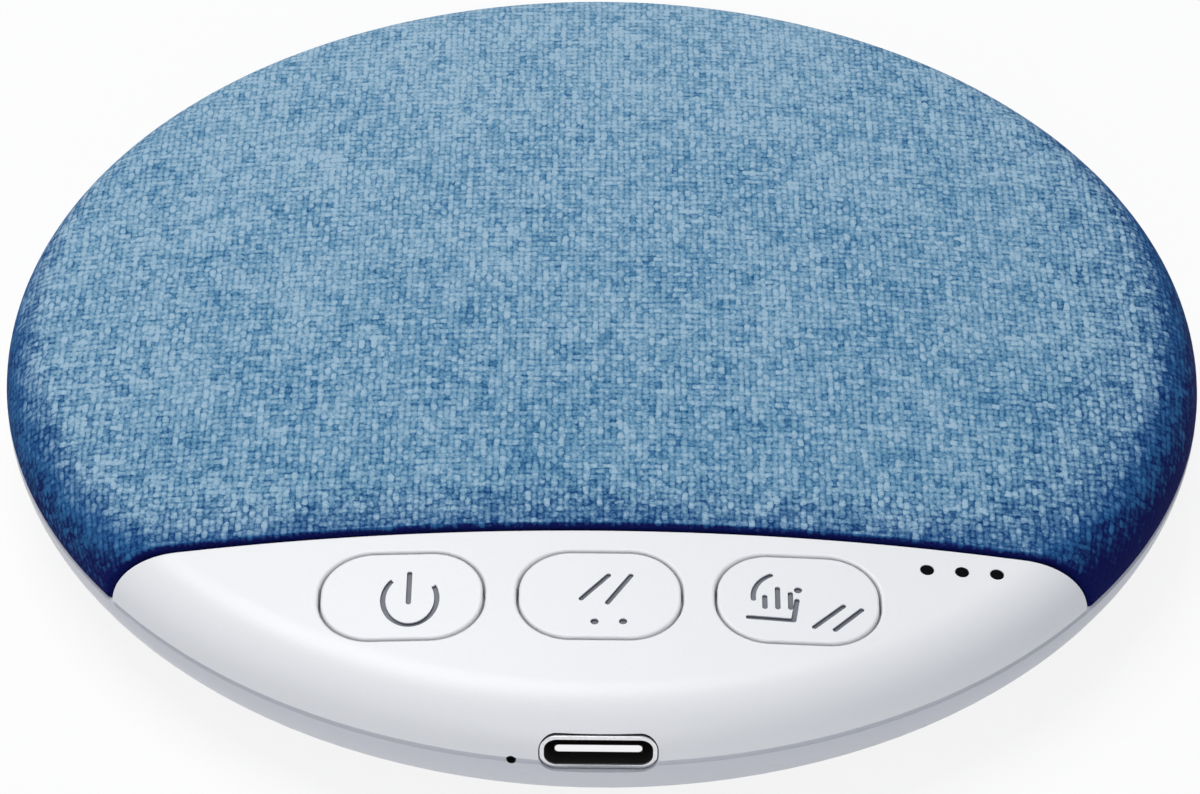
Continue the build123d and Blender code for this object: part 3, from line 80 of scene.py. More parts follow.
# %% A socket that understands arithmetic
class Wire:
    """One output socket of a node tree, with arithmetic that adds Math nodes."""

    def __init__(self, tree, socket):
        self.tree, self.socket = tree, socket

    def maths(self, operation, *others, clamp=False):
        settings = {"operation": operation, "use_clamp": clamp}
        return node(self.tree, "ShaderNodeMath", settings, dict(enumerate((self, *others))))

    def __add__(self, other):
        return self.maths("ADD", other)

    def __sub__(self, other):
        return self.maths("SUBTRACT", other)

    def __rsub__(self, other):
        return node(self.tree, "ShaderNodeMath", {"operation": "SUBTRACT"}, {0: other, 1: self})

    def __mul__(self, other):
        return self.maths("MULTIPLY", other)

    def __truediv__(self, other):
        return self.maths("DIVIDE", other)

    def __pow__(self, other):
        return self.maths("POWER", other)

    __radd__, __rmul__ = __add__, __mul__

    def above(self, limit, softness):
        """0 below the limit, 1 above it, over a soft step."""
        inputs = {"Value": self, "From Min": limit - softness, "From Max": limit + softness}
        return node(self.tree, "ShaderNodeMapRange", {"interpolation_type": "SMOOTHSTEP"}, inputs)


def node(tree, kind, settings=None, inputs=None, output=0):
    """Adds a node, sets its settings first and then its sockets, and returns one output."""
    made = tree.nodes.new(kind)
    for name, value in (settings or {}).items():
        if name == "stops":
            ramp = made.color_ramp
            while len(ramp.elements) < len(value):
                ramp.elements.new(0.5)
            for element, (place, tint) in zip(ramp.elements, value):
                element.position, element.color = place, tint
        else:
            setattr(made, name, value)
    for name, value in (inputs or {}).items():
        if isinstance(value, Wire):
            tree.links.new(value.socket, made.inputs[name])
        else:
            made.inputs[name].default_value = value
    return Wire(tree, made.outputs[output])


def mix(tree, share, first, second):
    """A colour between two colours."""
    inputs = {0: share, 6: first, 7: second}
    return node(tree, "ShaderNodeMix", {"data_type": "RGBA"}, inputs, 2)


def colour(red, green, blue):
    """A colour as it looks on screen, from 0 to 255, made linear for the renderer."""
    steps = [v / 255 for v in (red, green, blue)]
    return (*[v / 12.92 if v <= 0.04045 else ((v + 0.055) / 1.055) ** 2.4 for v in steps], 1.0)


def shade_of(base, share):
    """A darker or lighter version of a colour."""
    return (*[min(1.0, channel * share) for channel in base[:3]], 1.0)


def finish(name, base, roughness=0.5, metallic=0.0, **fixed):
    """A new material with a Principled shader, and its tree and shader for what is added."""
    material = bpy.data.materials.new(name)
    material.use_nodes = True
    tree = material.node_tree
    shader = tree.nodes["Principled BSDF"]
    shader.inputs["Base Color"].default_value = base
    shader.inputs["Roughness"].default_value = roughness
    shader.inputs["Metallic"].default_value = metallic
    for socket, value in fixed.items():
        shader.inputs[socket.replace("_", " ")].default_value = value
    return material, tree, shader


def feed(tree, shader, **wires):
    """Links wires to the shader's sockets."""
    for socket, wire in wires.items():
        tree.links.new(wire.socket, shader.inputs[socket.replace("_", " ")])


def place_on(tree, scale=1.0):
    """Object coordinates, scaled."""
    at = node(tree, "ShaderNodeTexCoord", output="Object")
    return node(tree, "ShaderNodeVectorMath", {"operation": "SCALE"}, {0: at, "Scale": scale})


def axes_of(tree, vector):
    """The x, y and z of a vector."""
    return [node(tree, "ShaderNodeSeparateXYZ", None, {0: vector}, output=axis) for axis in range(3)]


def noise(tree, vector, scale, detail=2.0, roughness=0.5):
    """Smooth noise from 0 to 1."""
    inputs = {"Vector": vector, "Scale": scale, "Detail": detail, "Roughness": roughness}
    return node(tree, "ShaderNodeTexNoise", {"noise_dimensions": "3D"}, inputs)


def bump(tree, height, distance, strength=1.0):
    """A bump normal from a height that runs from 0 to 1."""
    inputs = {"Height": height, "Distance": distance, "Strength": strength}
    return node(tree, "ShaderNodeBump", None, inputs)


print("shader helpers ready")

# %% [markdown]
# The white case is moulded with a very fine satin grain. Up close it is a speckle about a hundredth of a
# millimetre high, and across the part the gloss drifts a little where hands touch it. Both come from
# noise on the object's own coordinates, so they stay put when a key moves. The pinhole beside the port is
# too narrow for light to reach its walls, so painted shade makes the points close to its axis nearly black.


# %% White mouldings
PINHOLE_X = -6.66 * MM
PINHOLE_REACH = 0.38 * MM
SATIN_GRAIN = 5200
GLOSS_DRIFT = 60


def satin_plastic(name, base, roughness, grain=0.012 * MM):
    """Moulded plastic with a fine grain and slightly uneven gloss, and painted shade on the pinhole's
    walls.
    """
    material, tree, shader = finish(name, base, roughness)
    at = place_on(tree)
    speckle = noise(tree, at, SATIN_GRAIN, 2)
    drift = noise(tree, at, GLOSS_DRIFT, 3)
    x, y, z = axes_of(tree, at)
    from_axis = ((x - PINHOLE_X) ** 2 + (z - SEAM_HEIGHT) ** 2).maths("SQRT")
    # Painted shade: points near the pinhole's axis, in front of the panel's edge, are coloured nearly
    # black.
    pinhole_painted_shade = (1 - from_axis.above(PINHOLE_REACH, 0.01 * MM)) * (1 - y.above(PANEL_EDGE_Y, MM))
    tone = mix(tree, drift, shade_of(base, 0.985), shade_of(base, 1.01))
    feed(tree, shader, Base_Color=mix(tree, pinhole_painted_shade, tone, colour(16, 16, 18)),
         Normal=bump(tree, speckle, grain),
         Roughness=drift * 0.12 + (roughness - 0.06))
    return material


WHITE = colour(238, 238, 238)
panel_white = satin_plastic("panel_white", WHITE, 0.38)
base_white = satin_plastic("base_white", colour(208, 209, 214), 0.42)
print("white mouldings:", panel_white.name, base_white.name)

# %% [markdown]
# The keys' symbols are engraved in the caps and filled with dark paint. The engraving is in the solid, so
# the paint only has to find it: a point of the cap lies in a groove where it is about a tenth of a
# millimetre or more under the crown's sphere, and inside the pill-shaped outline of its key.

# %% Keys with paint in their engraved symbols
PAINT_DEPTH = 0.09 * MM
PAINT_EDGE = 0.02 * MM
CAP_HALF_STRAIGHT = 1.8 * MM
PAINT_REACH = 4.15 * MM


def key_finish(name, key_x):
    """White moulding with grey paint in the grooves around one key's middle."""
    material, tree, shader = finish(name, WHITE, 0.36)
    at = place_on(tree)
    x, y, _ = axes_of(tree, at)
    from_centre = node(tree, "ShaderNodeVectorMath", {"operation": "DISTANCE"},
                       {0: at, 1: (0, 0, CROWN_CENTRE_Z)}, "Value")
    depth = CROWN_RADIUS - from_centre
    in_groove = depth.above(PAINT_DEPTH, PAINT_EDGE)
    past_straight = ((x - key_x).maths("ABSOLUTE") - CAP_HALF_STRAIGHT).maths("MAXIMUM", 0)
    reach = (past_straight ** 2 + (y - KEY_Y) ** 2).maths("SQRT")
    paint = in_groove * (1 - reach.above(PAINT_REACH, PAINT_EDGE))
    mottle = noise(tree, at, 900, 3)
    ink = mix(tree, mottle, colour(92, 95, 104), colour(122, 125, 133))
    feed(tree, shader, Base_Color=mix(tree, paint, WHITE, ink),
         Normal=bump(tree, noise(tree, at, SATIN_GRAIN, 2), 0.012 * MM),
         Roughness=paint * 0.25 + noise(tree, at, GLOSS_DRIFT, 3) * 0.12 + 0.30)
    return material


key_finishes = {name: key_finish(f"{name}_white", x) for name, x in KEY_XS.items()}
print("key finishes:", len(key_finishes))

# %% [markdown]
# The cloth is a plain weave of heathered blue yarns, half a millimetre apart in the warp and a little
# more in the weft. Each yarn is a round ridge that dives under its neighbour, so the height is the larger
# of two waves, and the colour comes from the yarn on top. Heather means that a yarn changes shade along
# its length: noise that is stretched along the thread, with a new row for every thread, gives that, and
# finer noise gives the loose fibres. Lighter stretches of a yarn are fuller and ride a little higher. The
# flat place of each point is in a UV map in metres, so the threads follow the cloth over the shoulder.
# An attribute on the vertices holds how much shade is painted on the cloth: over the edges and in bands
# along the seam and the rim, where the colour turns to darker blues and navy. The gaps between the yarns
# and their low parts also get painted shade, and a painted light gradient runs lighter to the rear and
# darker to the right.

# %% Heathered plain weave
WARP_PITCH = 0.52 * MM
WEFT_PITCH = 0.70 * MM
THREAD_WANDER = 0.34
RIDGE_ROUNDNESS = 0.7
RIDGE_HEIGHT = 0.7
RIDGE_DIVE = 0.22
YARN_LIFT = 0.9
WARP_LEAD = 0.14
PAINTED_LIGHT_TO_REAR = 0.95
PAINTED_SHADE_TO_RIGHT = 0.25
HEATHER = [(0.26, colour(20, 74, 120)), (0.40, colour(66, 117, 155)),
           (0.50, colour(104, 149, 178)), (0.68, colour(162, 191, 209))]
GAP_SHADE_BLUE = colour(20, 74, 124)
SHADE_BLUES = colour(10, 50, 108), colour(46, 102, 152)
SHADE_NAVIES = colour(9, 18, 80), colour(6, 4, 52)


def yarn_shade(tree, thread, run, seed):
    """The heathered shade of a yarn: streaks along the thread, different for each thread."""
    streak = node(tree, "ShaderNodeCombineXYZ", None, {0: thread * 5.3 + seed, 1: run * 0.26, 2: seed})
    fibre = node(tree, "ShaderNodeCombineXYZ", None, {0: thread * 2.1 + seed, 1: run * 1.1, 2: seed + 9})
    return noise(tree, streak, 1.0, 2, 0.6) * 0.6 + noise(tree, fibre, 1.0, 3, 0.7) * 0.4


def yarn_height(own_wave, crossing_wave, dive, shade):
    """The round ridge of a yarn, which dives under every second yarn that it crosses."""
    ridge = own_wave.maths("ABSOLUTE") ** RIDGE_ROUNDNESS * RIDGE_HEIGHT
    return ridge + own_wave.maths("SIGN") * crossing_wave * dive + (shade - 0.5) * YARN_LIFT


def wander(tree, flat, slow, quick):
    """How far the threads stray from a straight line, in threads."""
    return (noise(tree, flat, slow, 2) * 2.0 + noise(tree, flat, quick, 2) * 1.9) * THREAD_WANDER


def cloth_finish():
    """A plain weave in heathered blue, with painted shade over the edges, along the seam and rim and in the
    gaps, and a painted light gradient.
    """
    material, tree, shader = finish("heathered_cloth", colour(110, 150, 184), 0.95, Specular_IOR_Level=0.1)
    flat = node(tree, "ShaderNodeUVMap", {"uv_map": "cloth"})
    flat_x, flat_y, _ = axes_of(tree, flat)
    across = flat_x / WARP_PITCH + wander(tree, flat, 260, 1300)
    along = flat_y / WEFT_PITCH + wander(tree, flat, 310, 1500)
    wave_across, wave_along = (across * pi).maths("SINE"), (along * pi).maths("SINE")
    warp_shade = yarn_shade(tree, across.maths("FLOOR"), along, 11.0)
    weft_shade = yarn_shade(tree, along.maths("FLOOR"), across, 47.0)
    warp = yarn_height(wave_across, wave_along, RIDGE_DIVE, warp_shade) + WARP_LEAD
    weft = yarn_height(wave_along, wave_across, -RIDGE_DIVE, weft_shade)
    height = warp.maths("MAXIMUM", weft)
    warp_on_top = (warp - weft).above(0.0, 0.16)

    fuzz = noise(tree, flat, 3300, 3, 0.7)
    patch = noise(tree, flat, 95, 4, 0.6)
    shade = weft_shade + warp_on_top * (warp_shade - weft_shade)
    # Fuzz and patches are the yarn's own tone. The height term is painted shade, darker on the low parts of
    # the yarns.
    shade = shade + (fuzz - 0.5) * 0.46 + (patch - 0.5) * 0.22 + (height - 0.55) * 0.22
    # Painted light and shade: the cloth is coloured lighter towards the rear and darker towards the right.
    shade = shade + flat_y * PAINTED_LIGHT_TO_REAR - flat_x * PAINTED_SHADE_TO_RIGHT
    yarn = node(tree, "ShaderNodeValToRGB", {"stops": HEATHER}, {"Fac": shade})
    # Painted shade: the gaps between the yarns are coloured a darker blue.
    yarn_gap_shade = 1 - (height + (fuzz - 0.5) * 0.5).above(0.38, 0.24)
    loose = noise(tree, flat, 1200, 2).above(0.5, 0.16)
    woven = mix(tree, yarn_gap_shade * (loose * 0.75 + 0.10), yarn, GAP_SHADE_BLUE)

    tuck = node(tree, "ShaderNodeAttribute", {"attribute_name": "tuck"}, output="Fac")
    # Painted shade: where the value is high the colour turns to darker blues, and over the edges to navy
    # that is darkest in the gaps.
    shade_share = (tuck - (shade - 0.5) * 1.2).above(0.42, 0.36)
    turned = (tuck - (shade - 0.5) * 1.6).above(1.03, 0.36)
    blue = mix(tree, shade.above(0.5, 0.2), *SHADE_BLUES)
    colour_with_painted_shade = mix(tree, turned, mix(tree, shade_share, woven, blue), mix(tree, yarn_gap_shade, *SHADE_NAVIES))
    feed(tree, shader, Base_Color=colour_with_painted_shade, Normal=bump(tree, height * 0.6 + fuzz * 0.4, 0.13 * MM, 0.8))
    return material


cloth = cloth_finish()
print("warp and weft pitch:", WARP_PITCH / MM, WEFT_PITCH / MM, "mm")

# %% [markdown]
# The cover starts as a profile of the cloth's outside: over the crown, round the shoulder, round the
# bottom edge and a little way in under the rim as a hem. Spinning it gives the whole cap. A layer on the
# vertices holds where each point lies when the cloth is flat, and how much shade is painted on it, for the
# weave to read later. The painted shade grows as the cloth turns over the shoulder, and more is added near
# the seam and along the rim, most of all at the front and on the right. At the rear less is painted, so
# the rim stays light.

# %% Spin the cloth's profile
SPIN_STEPS = 240
CROWN_STEPS = 44
SHOULDER_STEPS = 14
CURL_STEPS = 4
HEM_STEPS = 3
HEM_CURL = 0.3 * MM
HEM_LIFT = 0.02 * MM
SEAM_BAND = 8.0 * MM
SEAM_SHADE = 0.58
RIM_BAND = 16 * MM
RIM_SHADE = 0.56
EVEN_SHARE, RIGHT_SHARE, FRONT_SHARE = 0.68, 0.30, 0.50
SHADE_OVERLAP = 0.25
REAR_LESS_SHADE = 0.30
REAR_BAND = 7.0 * MM


def cloth_profile():
    """Points (radius, height, length along the cloth, painted shade), from the middle of the crown out."""
    points = []
    for i in range(CROWN_STEPS + 1):
        tilt = (pi / 2 - SHOULDER_ANGLE) * i / CROWN_STEPS
        place = (CROWN_RADIUS * sin(tilt), CROWN_CENTRE_Z + CROWN_RADIUS * cos(tilt))
        points.append((*place, CROWN_RADIUS * tilt, 0.0))
    crown_run = points[-1][2]
    lowest_turn = (HEM_CURL + HEM_LIFT) / DOME_SHOULDER
    for i in range(1, SHOULDER_STEPS + 1):
        angle = SHOULDER_ANGLE + (lowest_turn - SHOULDER_ANGLE) * i / SHOULDER_STEPS
        place = (SHOULDER_CENTRE + DOME_SHOULDER * cos(angle), SEAM_HEIGHT + DOME_SHOULDER * sin(angle))
        run = crown_run + DOME_SHOULDER * (SHOULDER_ANGLE - angle)
        # Painted shade grows as the cloth turns down over the shoulder, and the curl and the hem get the
        # most.
        points.append((*place, run, 1 - angle / SHOULDER_ANGLE))
    edge, low, run, _ = points[-1]
    for i in range(1, CURL_STEPS + 1):
        turn = pi / 2 * i / CURL_STEPS
        place = (edge - HEM_CURL * (1 - cos(turn)), low - HEM_CURL * sin(turn))
        points.append((*place, run + HEM_CURL * turn, 1.0))
    edge, low, run, _ = points[-1]
    for i in range(1, HEM_STEPS + 1):
        inward = (HEM_WIDTH - HEM_CURL) * i / HEM_STEPS
        points.append((edge - inward, low, run + inward, 1.0))
    return points


def painted_shade_at(x, y):
    """How much shade is painted on the cloth at a place: more near the seam and along the rim, less at the
    rear.
    """
    # Painted shade: bands along the seam and the rim are coloured darker, most at the front and on the
    # right, and less at the rear rim.
    behind_seam = y - (PANEL_EDGE_Y - PANEL_EDGE_ARC + sqrt(PANEL_EDGE_ARC**2 - x**2))
    from_rim = DISC_RADIUS - hypot(x, y)
    share = max(0.0, EVEN_SHARE + (RIGHT_SHARE * x - FRONT_SHARE * y) / DISC_RADIUS)
    by_seam = SEAM_SHADE * max(0.0, 1 - behind_seam / SEAM_BAND)
    by_rim = RIM_SHADE * share * max(0.0, 1 - from_rim / RIM_BAND)
    less_shade_at_rear = REAR_LESS_SHADE * max(0.0, y / DISC_RADIUS) * max(0.0, 1 - from_rim / REAR_BAND)
    return max(by_seam, by_rim) + SHADE_OVERLAP * min(by_seam, by_rim) - less_shade_at_rear


profile = cloth_profile()
cover = bmesh.new()
flat_place = cover.verts.layers.float_vector.new("flat_place")
previous = None
for radius, height, run, tuck in profile:
    vertex = cover.verts.new((0, radius, height))
    vertex[flat_place] = (run, 0, tuck)
    if previous:
        cover.edges.new((previous, vertex))
    previous = vertex
bmesh.ops.spin(cover, geom=cover.verts[:] + cover.edges[:], cent=(0, 0, 0), axis=(0, 0, 1),
               angle=2 * pi, steps=SPIN_STEPS, use_merge=True, use_duplicate=False)
bmesh.ops.remove_doubles(cover, verts=cover.verts[:], dist=0.002 * MM)
bmesh.ops.recalc_face_normals(cover, faces=cover.faces[:])
for vertex in cover.verts:
    run, _, tuck = vertex[flat_place]
    x, y = vertex.co.xy
    around = atan2(y, x)
    vertex[flat_place] = (run * cos(around), run * sin(around), tuck + painted_shade_at(x, y))
print("spun cap:", len(cover.verts), "vertices, profile", round(profile[-1][2] / MM, 1), "mm long")

# %% [markdown]
# The cloth stops at the control panel along a shallow arc. A straight cut is one operator, so the cap is
# bent until that arc is straight, cut with a plane, and bent back. The cut lies one roll radius behind
# the groove, to leave room for the edge that turns down. The hem's cut ends reach on along the rim as two
# small tips.

# %% Cut the cap along the panel's rear edge
ROLL_RADIUS = 0.5 * MM
CUT_ARC = PANEL_EDGE_ARC + PANEL_GAP / 2 + ROLL_RADIUS
HEM_TIP = 0.45 * MM
SHOULDER_EASE = 0.25 * MM
CORNER_X = sqrt(DISC_RADIUS**2 - PANEL_EDGE_Y**2)


def seam_y(x):
    """Where the cut runs at x. Over the shoulder the cloth turns less, and the roll needs less room."""
    over_shoulder = min(1.0, max(0.0, (abs(x) - CORNER_X + DOME_SHOULDER) / DOME_SHOULDER))
    return PANEL_EDGE_Y - PANEL_EDGE_ARC + sqrt(CUT_ARC**2 - x**2) - SHOULDER_EASE * over_shoulder


for vertex in cover.verts:
    vertex.co.y -= seam_y(vertex.co.x)
cut = bmesh.ops.bisect_plane(cover, geom=cover.verts[:] + cover.edges[:] + cover.faces[:], dist=0.01 * MM,
                             plane_co=(0, 0, 0), plane_no=(0, -1, 0), clear_outer=True)
on_cut = {v for v in cut["geom_cut"] if isinstance(v, bmesh.types.BMVert)}
for vertex in cover.verts:
    vertex.co.y += seam_y(vertex.co.x)
seam = [e for e in cover.edges if e.is_boundary and set(e.verts) <= on_cut
        and min(v.co.z for v in e.verts) > SEAM_HEIGHT + HEM_CURL]
for vertex in on_cut:
    if vertex.co.z < SEAM_HEIGHT + HEM_CURL and vertex.is_boundary:
        side = 1 if vertex.co.x > 0 else -1
        vertex.co += Vector((side * vertex.co.y, -side * vertex.co.x, 0)) * (HEM_TIP / DISC_RADIUS)
print("seam:", len(seam), "edges,", round(sum(e.calc_length() for e in seam) / MM, 1), "mm long")

# %% [markdown]
# At the seam the cloth rolls over a tight edge and runs down beside the panel. Each seam point keeps two
# directions: out of the cloth, and across the seam towards the panel. The boundary is extruded in small
# steps that follow the roll's circle between them, and then straight down, so the fold stays parallel to
# the panel's wall even where the seam runs over the shoulder.

# %% Turn the cloth down beside the panel
ROLL_STEPS = 5
FOLD_STEPS = 2
ROLL_SHADE = 0.9
FOLD_SHADE = 1.6
outward = cover.verts.layers.float_vector.new("outward")
across = cover.verts.layers.float_vector.new("across")
ARC_CENTRE = Vector((0, PANEL_EDGE_Y - PANEL_EDGE_ARC, 0))
cover.normal_update()
for vertex in {v for e in seam for v in e.verts}:
    out = vertex.normal
    to_panel = (ARC_CENTRE - vertex.co) * Vector((1, 1, 0))
    to_panel.normalize()
    vertex[outward] = out
    vertex[across] = (to_panel - out * to_panel.dot(out)).normalized()


def roll_on(edges, start, end, straight=0.0):
    """Extrudes the edges once, along the roll or straight down the fold, and returns the new edges."""
    made = bmesh.ops.extrude_edge_only(cover, edges=edges)["geom"]
    for vertex in (g for g in made if isinstance(g, bmesh.types.BMVert)):
        out, over = Vector(vertex[outward]), Vector(vertex[across])
        to_panel = ((ARC_CENTRE - vertex.co) * Vector((1, 1, 0))).normalized()
        full = atan2(over.dot(to_panel), out.dot(to_panel))
        if straight:
            vertex.co += (over * cos(full) - out * sin(full)) * straight
            length = straight
        else:
            first, last = full * start, full * end
            vertex.co += (over * (sin(last) - sin(first)) + out * (cos(last) - cos(first))) * ROLL_RADIUS
            length = (last - first) * ROLL_RADIUS
        # The roll and the fold get painted shade, the fold the most.
        u, v, tuck = vertex[flat_place]
        vertex[flat_place] = (u, v - length, max(tuck, FOLD_SHADE if straight else ROLL_SHADE + end))
    return [g for g in made if isinstance(g, bmesh.types.BMEdge)]


edges = seam
for step in range(ROLL_STEPS):
    edges = roll_on(edges, step / ROLL_STEPS, (step + 1) / ROLL_STEPS)
for step in range(FOLD_STEPS):
    edges = roll_on(edges, 1, 1, (FOLD_DEPTH - ROLL_RADIUS) / FOLD_STEPS)
bmesh.ops.recalc_face_normals(cover, faces=cover.faces[:])
top = max(cover.faces, key=lambda f: f.calc_center_median().z)
if top.normal.z < 0:
    bmesh.ops.reverse_faces(cover, faces=cover.faces[:])
print("folded cover:", len(cover.faces), "faces")

# %% [markdown]
# The layers now become things a material can read: a UV map with the flat place in metres, and an
# attribute with the amount of painted shade. A Solidify modifier gives the cloth its thickness inwards, so
# the outside stays on the dome.

# %% Finish the cover as a sheet of cloth
CLOTH_THICKNESS = 0.45 * MM


def flat_area(face):
    """The area of a face when the cloth is laid flat."""
    corners = [Vector(v[flat_place]).xy for v in face.verts]
    return abs(sum(a.cross(b) for a, b in zip(corners, corners[1:] + corners[:1]))) / 2


weave_map = cover.loops.layers.uv.new("cloth")
painted_shade_layer = cover.verts.layers.float.new("tuck")
for face in cover.faces:
    face.smooth = True
    for loop in face.loops:
        loop[weave_map].uv = Vector(loop.vert[flat_place]).xy
for vertex in cover.verts:
    vertex[painted_shade_layer] = vertex[flat_place][2]
laid = [Vector(v[flat_place]) for v in cover.verts]
flat_size = [max(p[axis] for p in laid) - min(p[axis] for p in laid) for axis in (0, 1)]
cut_area = sum(flat_area(face) for face in cover.faces)
for layer in (outward, across, flat_place):
    cover.verts.layers.float_vector.remove(layer)


def settle(shape, name, material, body="case"):
    """Turns a bmesh into an object at the origin that rides on a body."""
    mesh = bpy.data.meshes.new(name)
    shape.to_mesh(mesh)
    shape.free()
    mesh.materials.append(material)
    piece = bpy.data.objects.new(name, mesh)
    bpy.context.scene.collection.objects.link(piece)
    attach(piece, body)
    return piece


cloth_cover = settle(cover, "cloth_cover", cloth)
wall = cloth_cover.modifiers.new("thickness", "SOLIDIFY")
wall.thickness, wall.offset = CLOTH_THICKNESS, -1
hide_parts("fabric_cover")
print("cloth cut:", [round(v / MM, 1) for v in flat_size], "mm,", round(cut_area * 1e4, 1), "cm2")

# %% [markdown]
# The other solids keep their shape from the CAD model and only need their finishes. Most belong to a few
# families: mouldings, rubber, plated steel, boards and foils. Each family gets a function with its own
# kind of unevenness, because a real surface never has one flat colour.


# %% Families of finishes
def moulding(name, base, roughness=0.45, grain=0.010 * MM, clouds=0.12, **fixed):
    """Dark or coloured moulded plastic: faint clouds in the colour, a fine grain, drifting gloss."""
    material, tree, shader = finish(name, base, roughness, **fixed)
    at = place_on(tree)
    cloud = noise(tree, at, 240, 4)
    feed(tree, shader,
         Base_Color=mix(tree, cloud, shade_of(base, 1 - clouds), shade_of(base, 1 + clouds)),
         Normal=bump(tree, noise(tree, at, 6000, 2), grain),
         Roughness=noise(tree, at, 90, 3) * 0.16 + (roughness - 0.08))
    return material


def soft_rubber(name, base):
    """Matt rubber or foam with tiny pores and a dusting of wear."""
    material, tree, shader = finish(name, base, 0.8)
    at = place_on(tree)
    pores = node(tree, "ShaderNodeTexVoronoi", None, {"Vector": at, "Scale": 3800})
    dust = noise(tree, at, 300, 4).above(0.60, 0.16)
    feed(tree, shader, Base_Color=mix(tree, dust * 0.5, base, shade_of(base, 1.35)),
         Normal=bump(tree, pores, 0.03 * MM), Roughness=dust * 0.1 + 0.76)
    return material


def plated_metal(name, base, roughness=0.28, stretch=(1, 1, 14)):
    """Metal with fine drawn lines along one direction and a few duller patches."""
    material, tree, shader = finish(name, base, roughness, 1.0)
    at = place_on(tree)
    drawn = node(tree, "ShaderNodeMapping", None, {"Vector": at, "Scale": tuple(900 / s for s in stretch)})
    lines = noise(tree, drawn, 4, 3)
    dull = noise(tree, at, 220, 4)
    feed(tree, shader, Base_Color=mix(tree, dull, shade_of(base, 0.86), shade_of(base, 1.06)),
         Normal=bump(tree, lines, 0.004 * MM), Roughness=lines * 0.14 + dull * 0.1 + (roughness - 0.12))
    return material


def circuit_board(name, base):
    """Solder mask over copper: a grid of faint tracks under the gloss, with small tinned points."""
    material, tree, shader = finish(name, base, 0.35, Coat_Weight=0.4, Coat_Roughness=0.15)
    at = place_on(tree)
    tracks = node(tree, "ShaderNodeTexBrick", {"offset": 0.5, "squash": 1.4},
                  {"Vector": at, "Scale": 420, "Mortar Size": 0.12, "Mortar Smooth": 0.3}, "Fac")
    points = node(tree, "ShaderNodeTexVoronoi", None, {"Vector": at, "Scale": 620})
    tinned = 1 - points.above(0.13, 0.03)
    mask = mix(tree, tracks, shade_of(base, 1.0), shade_of(base, 1.55))
    feed(tree, shader, Base_Color=mix(tree, tinned, mask, colour(190, 190, 184)), Metallic=tinned * 0.9,
         Normal=bump(tree, tracks, 0.02 * MM),
         Roughness=tinned * -0.1 + noise(tree, at, 180, 2) * 0.1 + 0.3)
    return material


print("families ready")

# %% [markdown]
# A few finishes have a habit of their own: the port's shell is painted black inside as shade and the
# front edge of its metal tongue gets a painted highlight, the foil pouch is finely creased, the coil is
# wound, the cone is pressed from pulp with long fibres, and the tape is a loose crossed scrim.


# %% Finishes with a habit of their own
PORT_MOUTH_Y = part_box("usb_shell")[0].y
BRIGHT_DEPTH = 0.10 * MM
TONGUE_LOW, TONGUE_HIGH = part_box("usb_tongue")
TONGUE_MIDDLE_Z = (TONGUE_LOW.z + TONGUE_HIGH.z) / 2
TONGUE_FRONT_Y = TONGUE_LOW.y
TONGUE_HALF_WIDTH = 3.345 * MM
TONGUE_HALF_HEIGHT = 0.35 * MM


def creased_foil():
    """A laminated aluminium pouch with soft creases."""
    material, tree, shader = finish("pouch_foil", colour(196, 199, 204), 0.34, 0.9)
    at = place_on(tree)
    crease = node(tree, "ShaderNodeTexVoronoi", {"feature": "DISTANCE_TO_EDGE"},
                  {"Vector": at, "Scale": 160})
    waves = noise(tree, at, 70, 3)
    feed(tree, shader, Base_Color=mix(tree, waves, colour(178, 181, 188), colour(210, 212, 216)),
         Normal=bump(tree, crease.above(0.10, 0.10) * 0.4 + waves, 0.12 * MM), Roughness=waves * 0.2 + 0.24)
    return material


def wound_wire():
    """Lacquered copper turns, one above the other."""
    material, tree, shader = finish("coil_copper", colour(184, 110, 62), 0.3, 0.85, Coat_Weight=0.5)
    at = place_on(tree)
    turns = node(tree, "ShaderNodeTexWave", {"bands_direction": "Z"}, {"Vector": at, "Scale": 1900})
    feed(tree, shader, Base_Color=mix(tree, turns, colour(120, 62, 30), colour(204, 128, 76)),
         Normal=bump(tree, turns, 0.05 * MM), Roughness=noise(tree, at, 400, 2) * 0.15 + 0.22)
    return material


def pressed_pulp():
    """Black pulp with visible fibres."""
    material, tree, shader = finish("pulp", colour(30, 30, 32), 0.85)
    at = place_on(tree)
    bent = noise(tree, at, 700, 4)
    fibres = node(tree, "ShaderNodeTexWave", None,
                  {"Vector": at, "Scale": 500, "Distortion": 18, "Detail": 3})
    feed(tree, shader, Base_Color=mix(tree, fibres * bent, colour(22, 22, 24), colour(62, 60, 58)),
         Normal=bump(tree, fibres * 0.6 + bent * 0.4, 0.04 * MM), Roughness=bent * 0.15 + 0.75)
    return material


def scrim_tape():
    """White tape on a crossed scrim."""
    material, tree, shader = finish("scrim_tape", colour(205, 204, 198), 0.7)
    at = place_on(tree)
    one_way = node(tree, "ShaderNodeTexWave", {"bands_direction": "X"}, {"Vector": at, "Scale": 420})
    other_way = node(tree, "ShaderNodeTexWave", {"bands_direction": "Y"}, {"Vector": at, "Scale": 420})
    threads = one_way.maths("MAXIMUM", other_way)
    feed(tree, shader, Base_Color=mix(tree, threads, colour(186, 184, 176), colour(218, 217, 212)),
         Normal=bump(tree, threads, 0.05 * MM), Roughness=noise(tree, at, 160, 2) * 0.2 + 0.6)
    return material


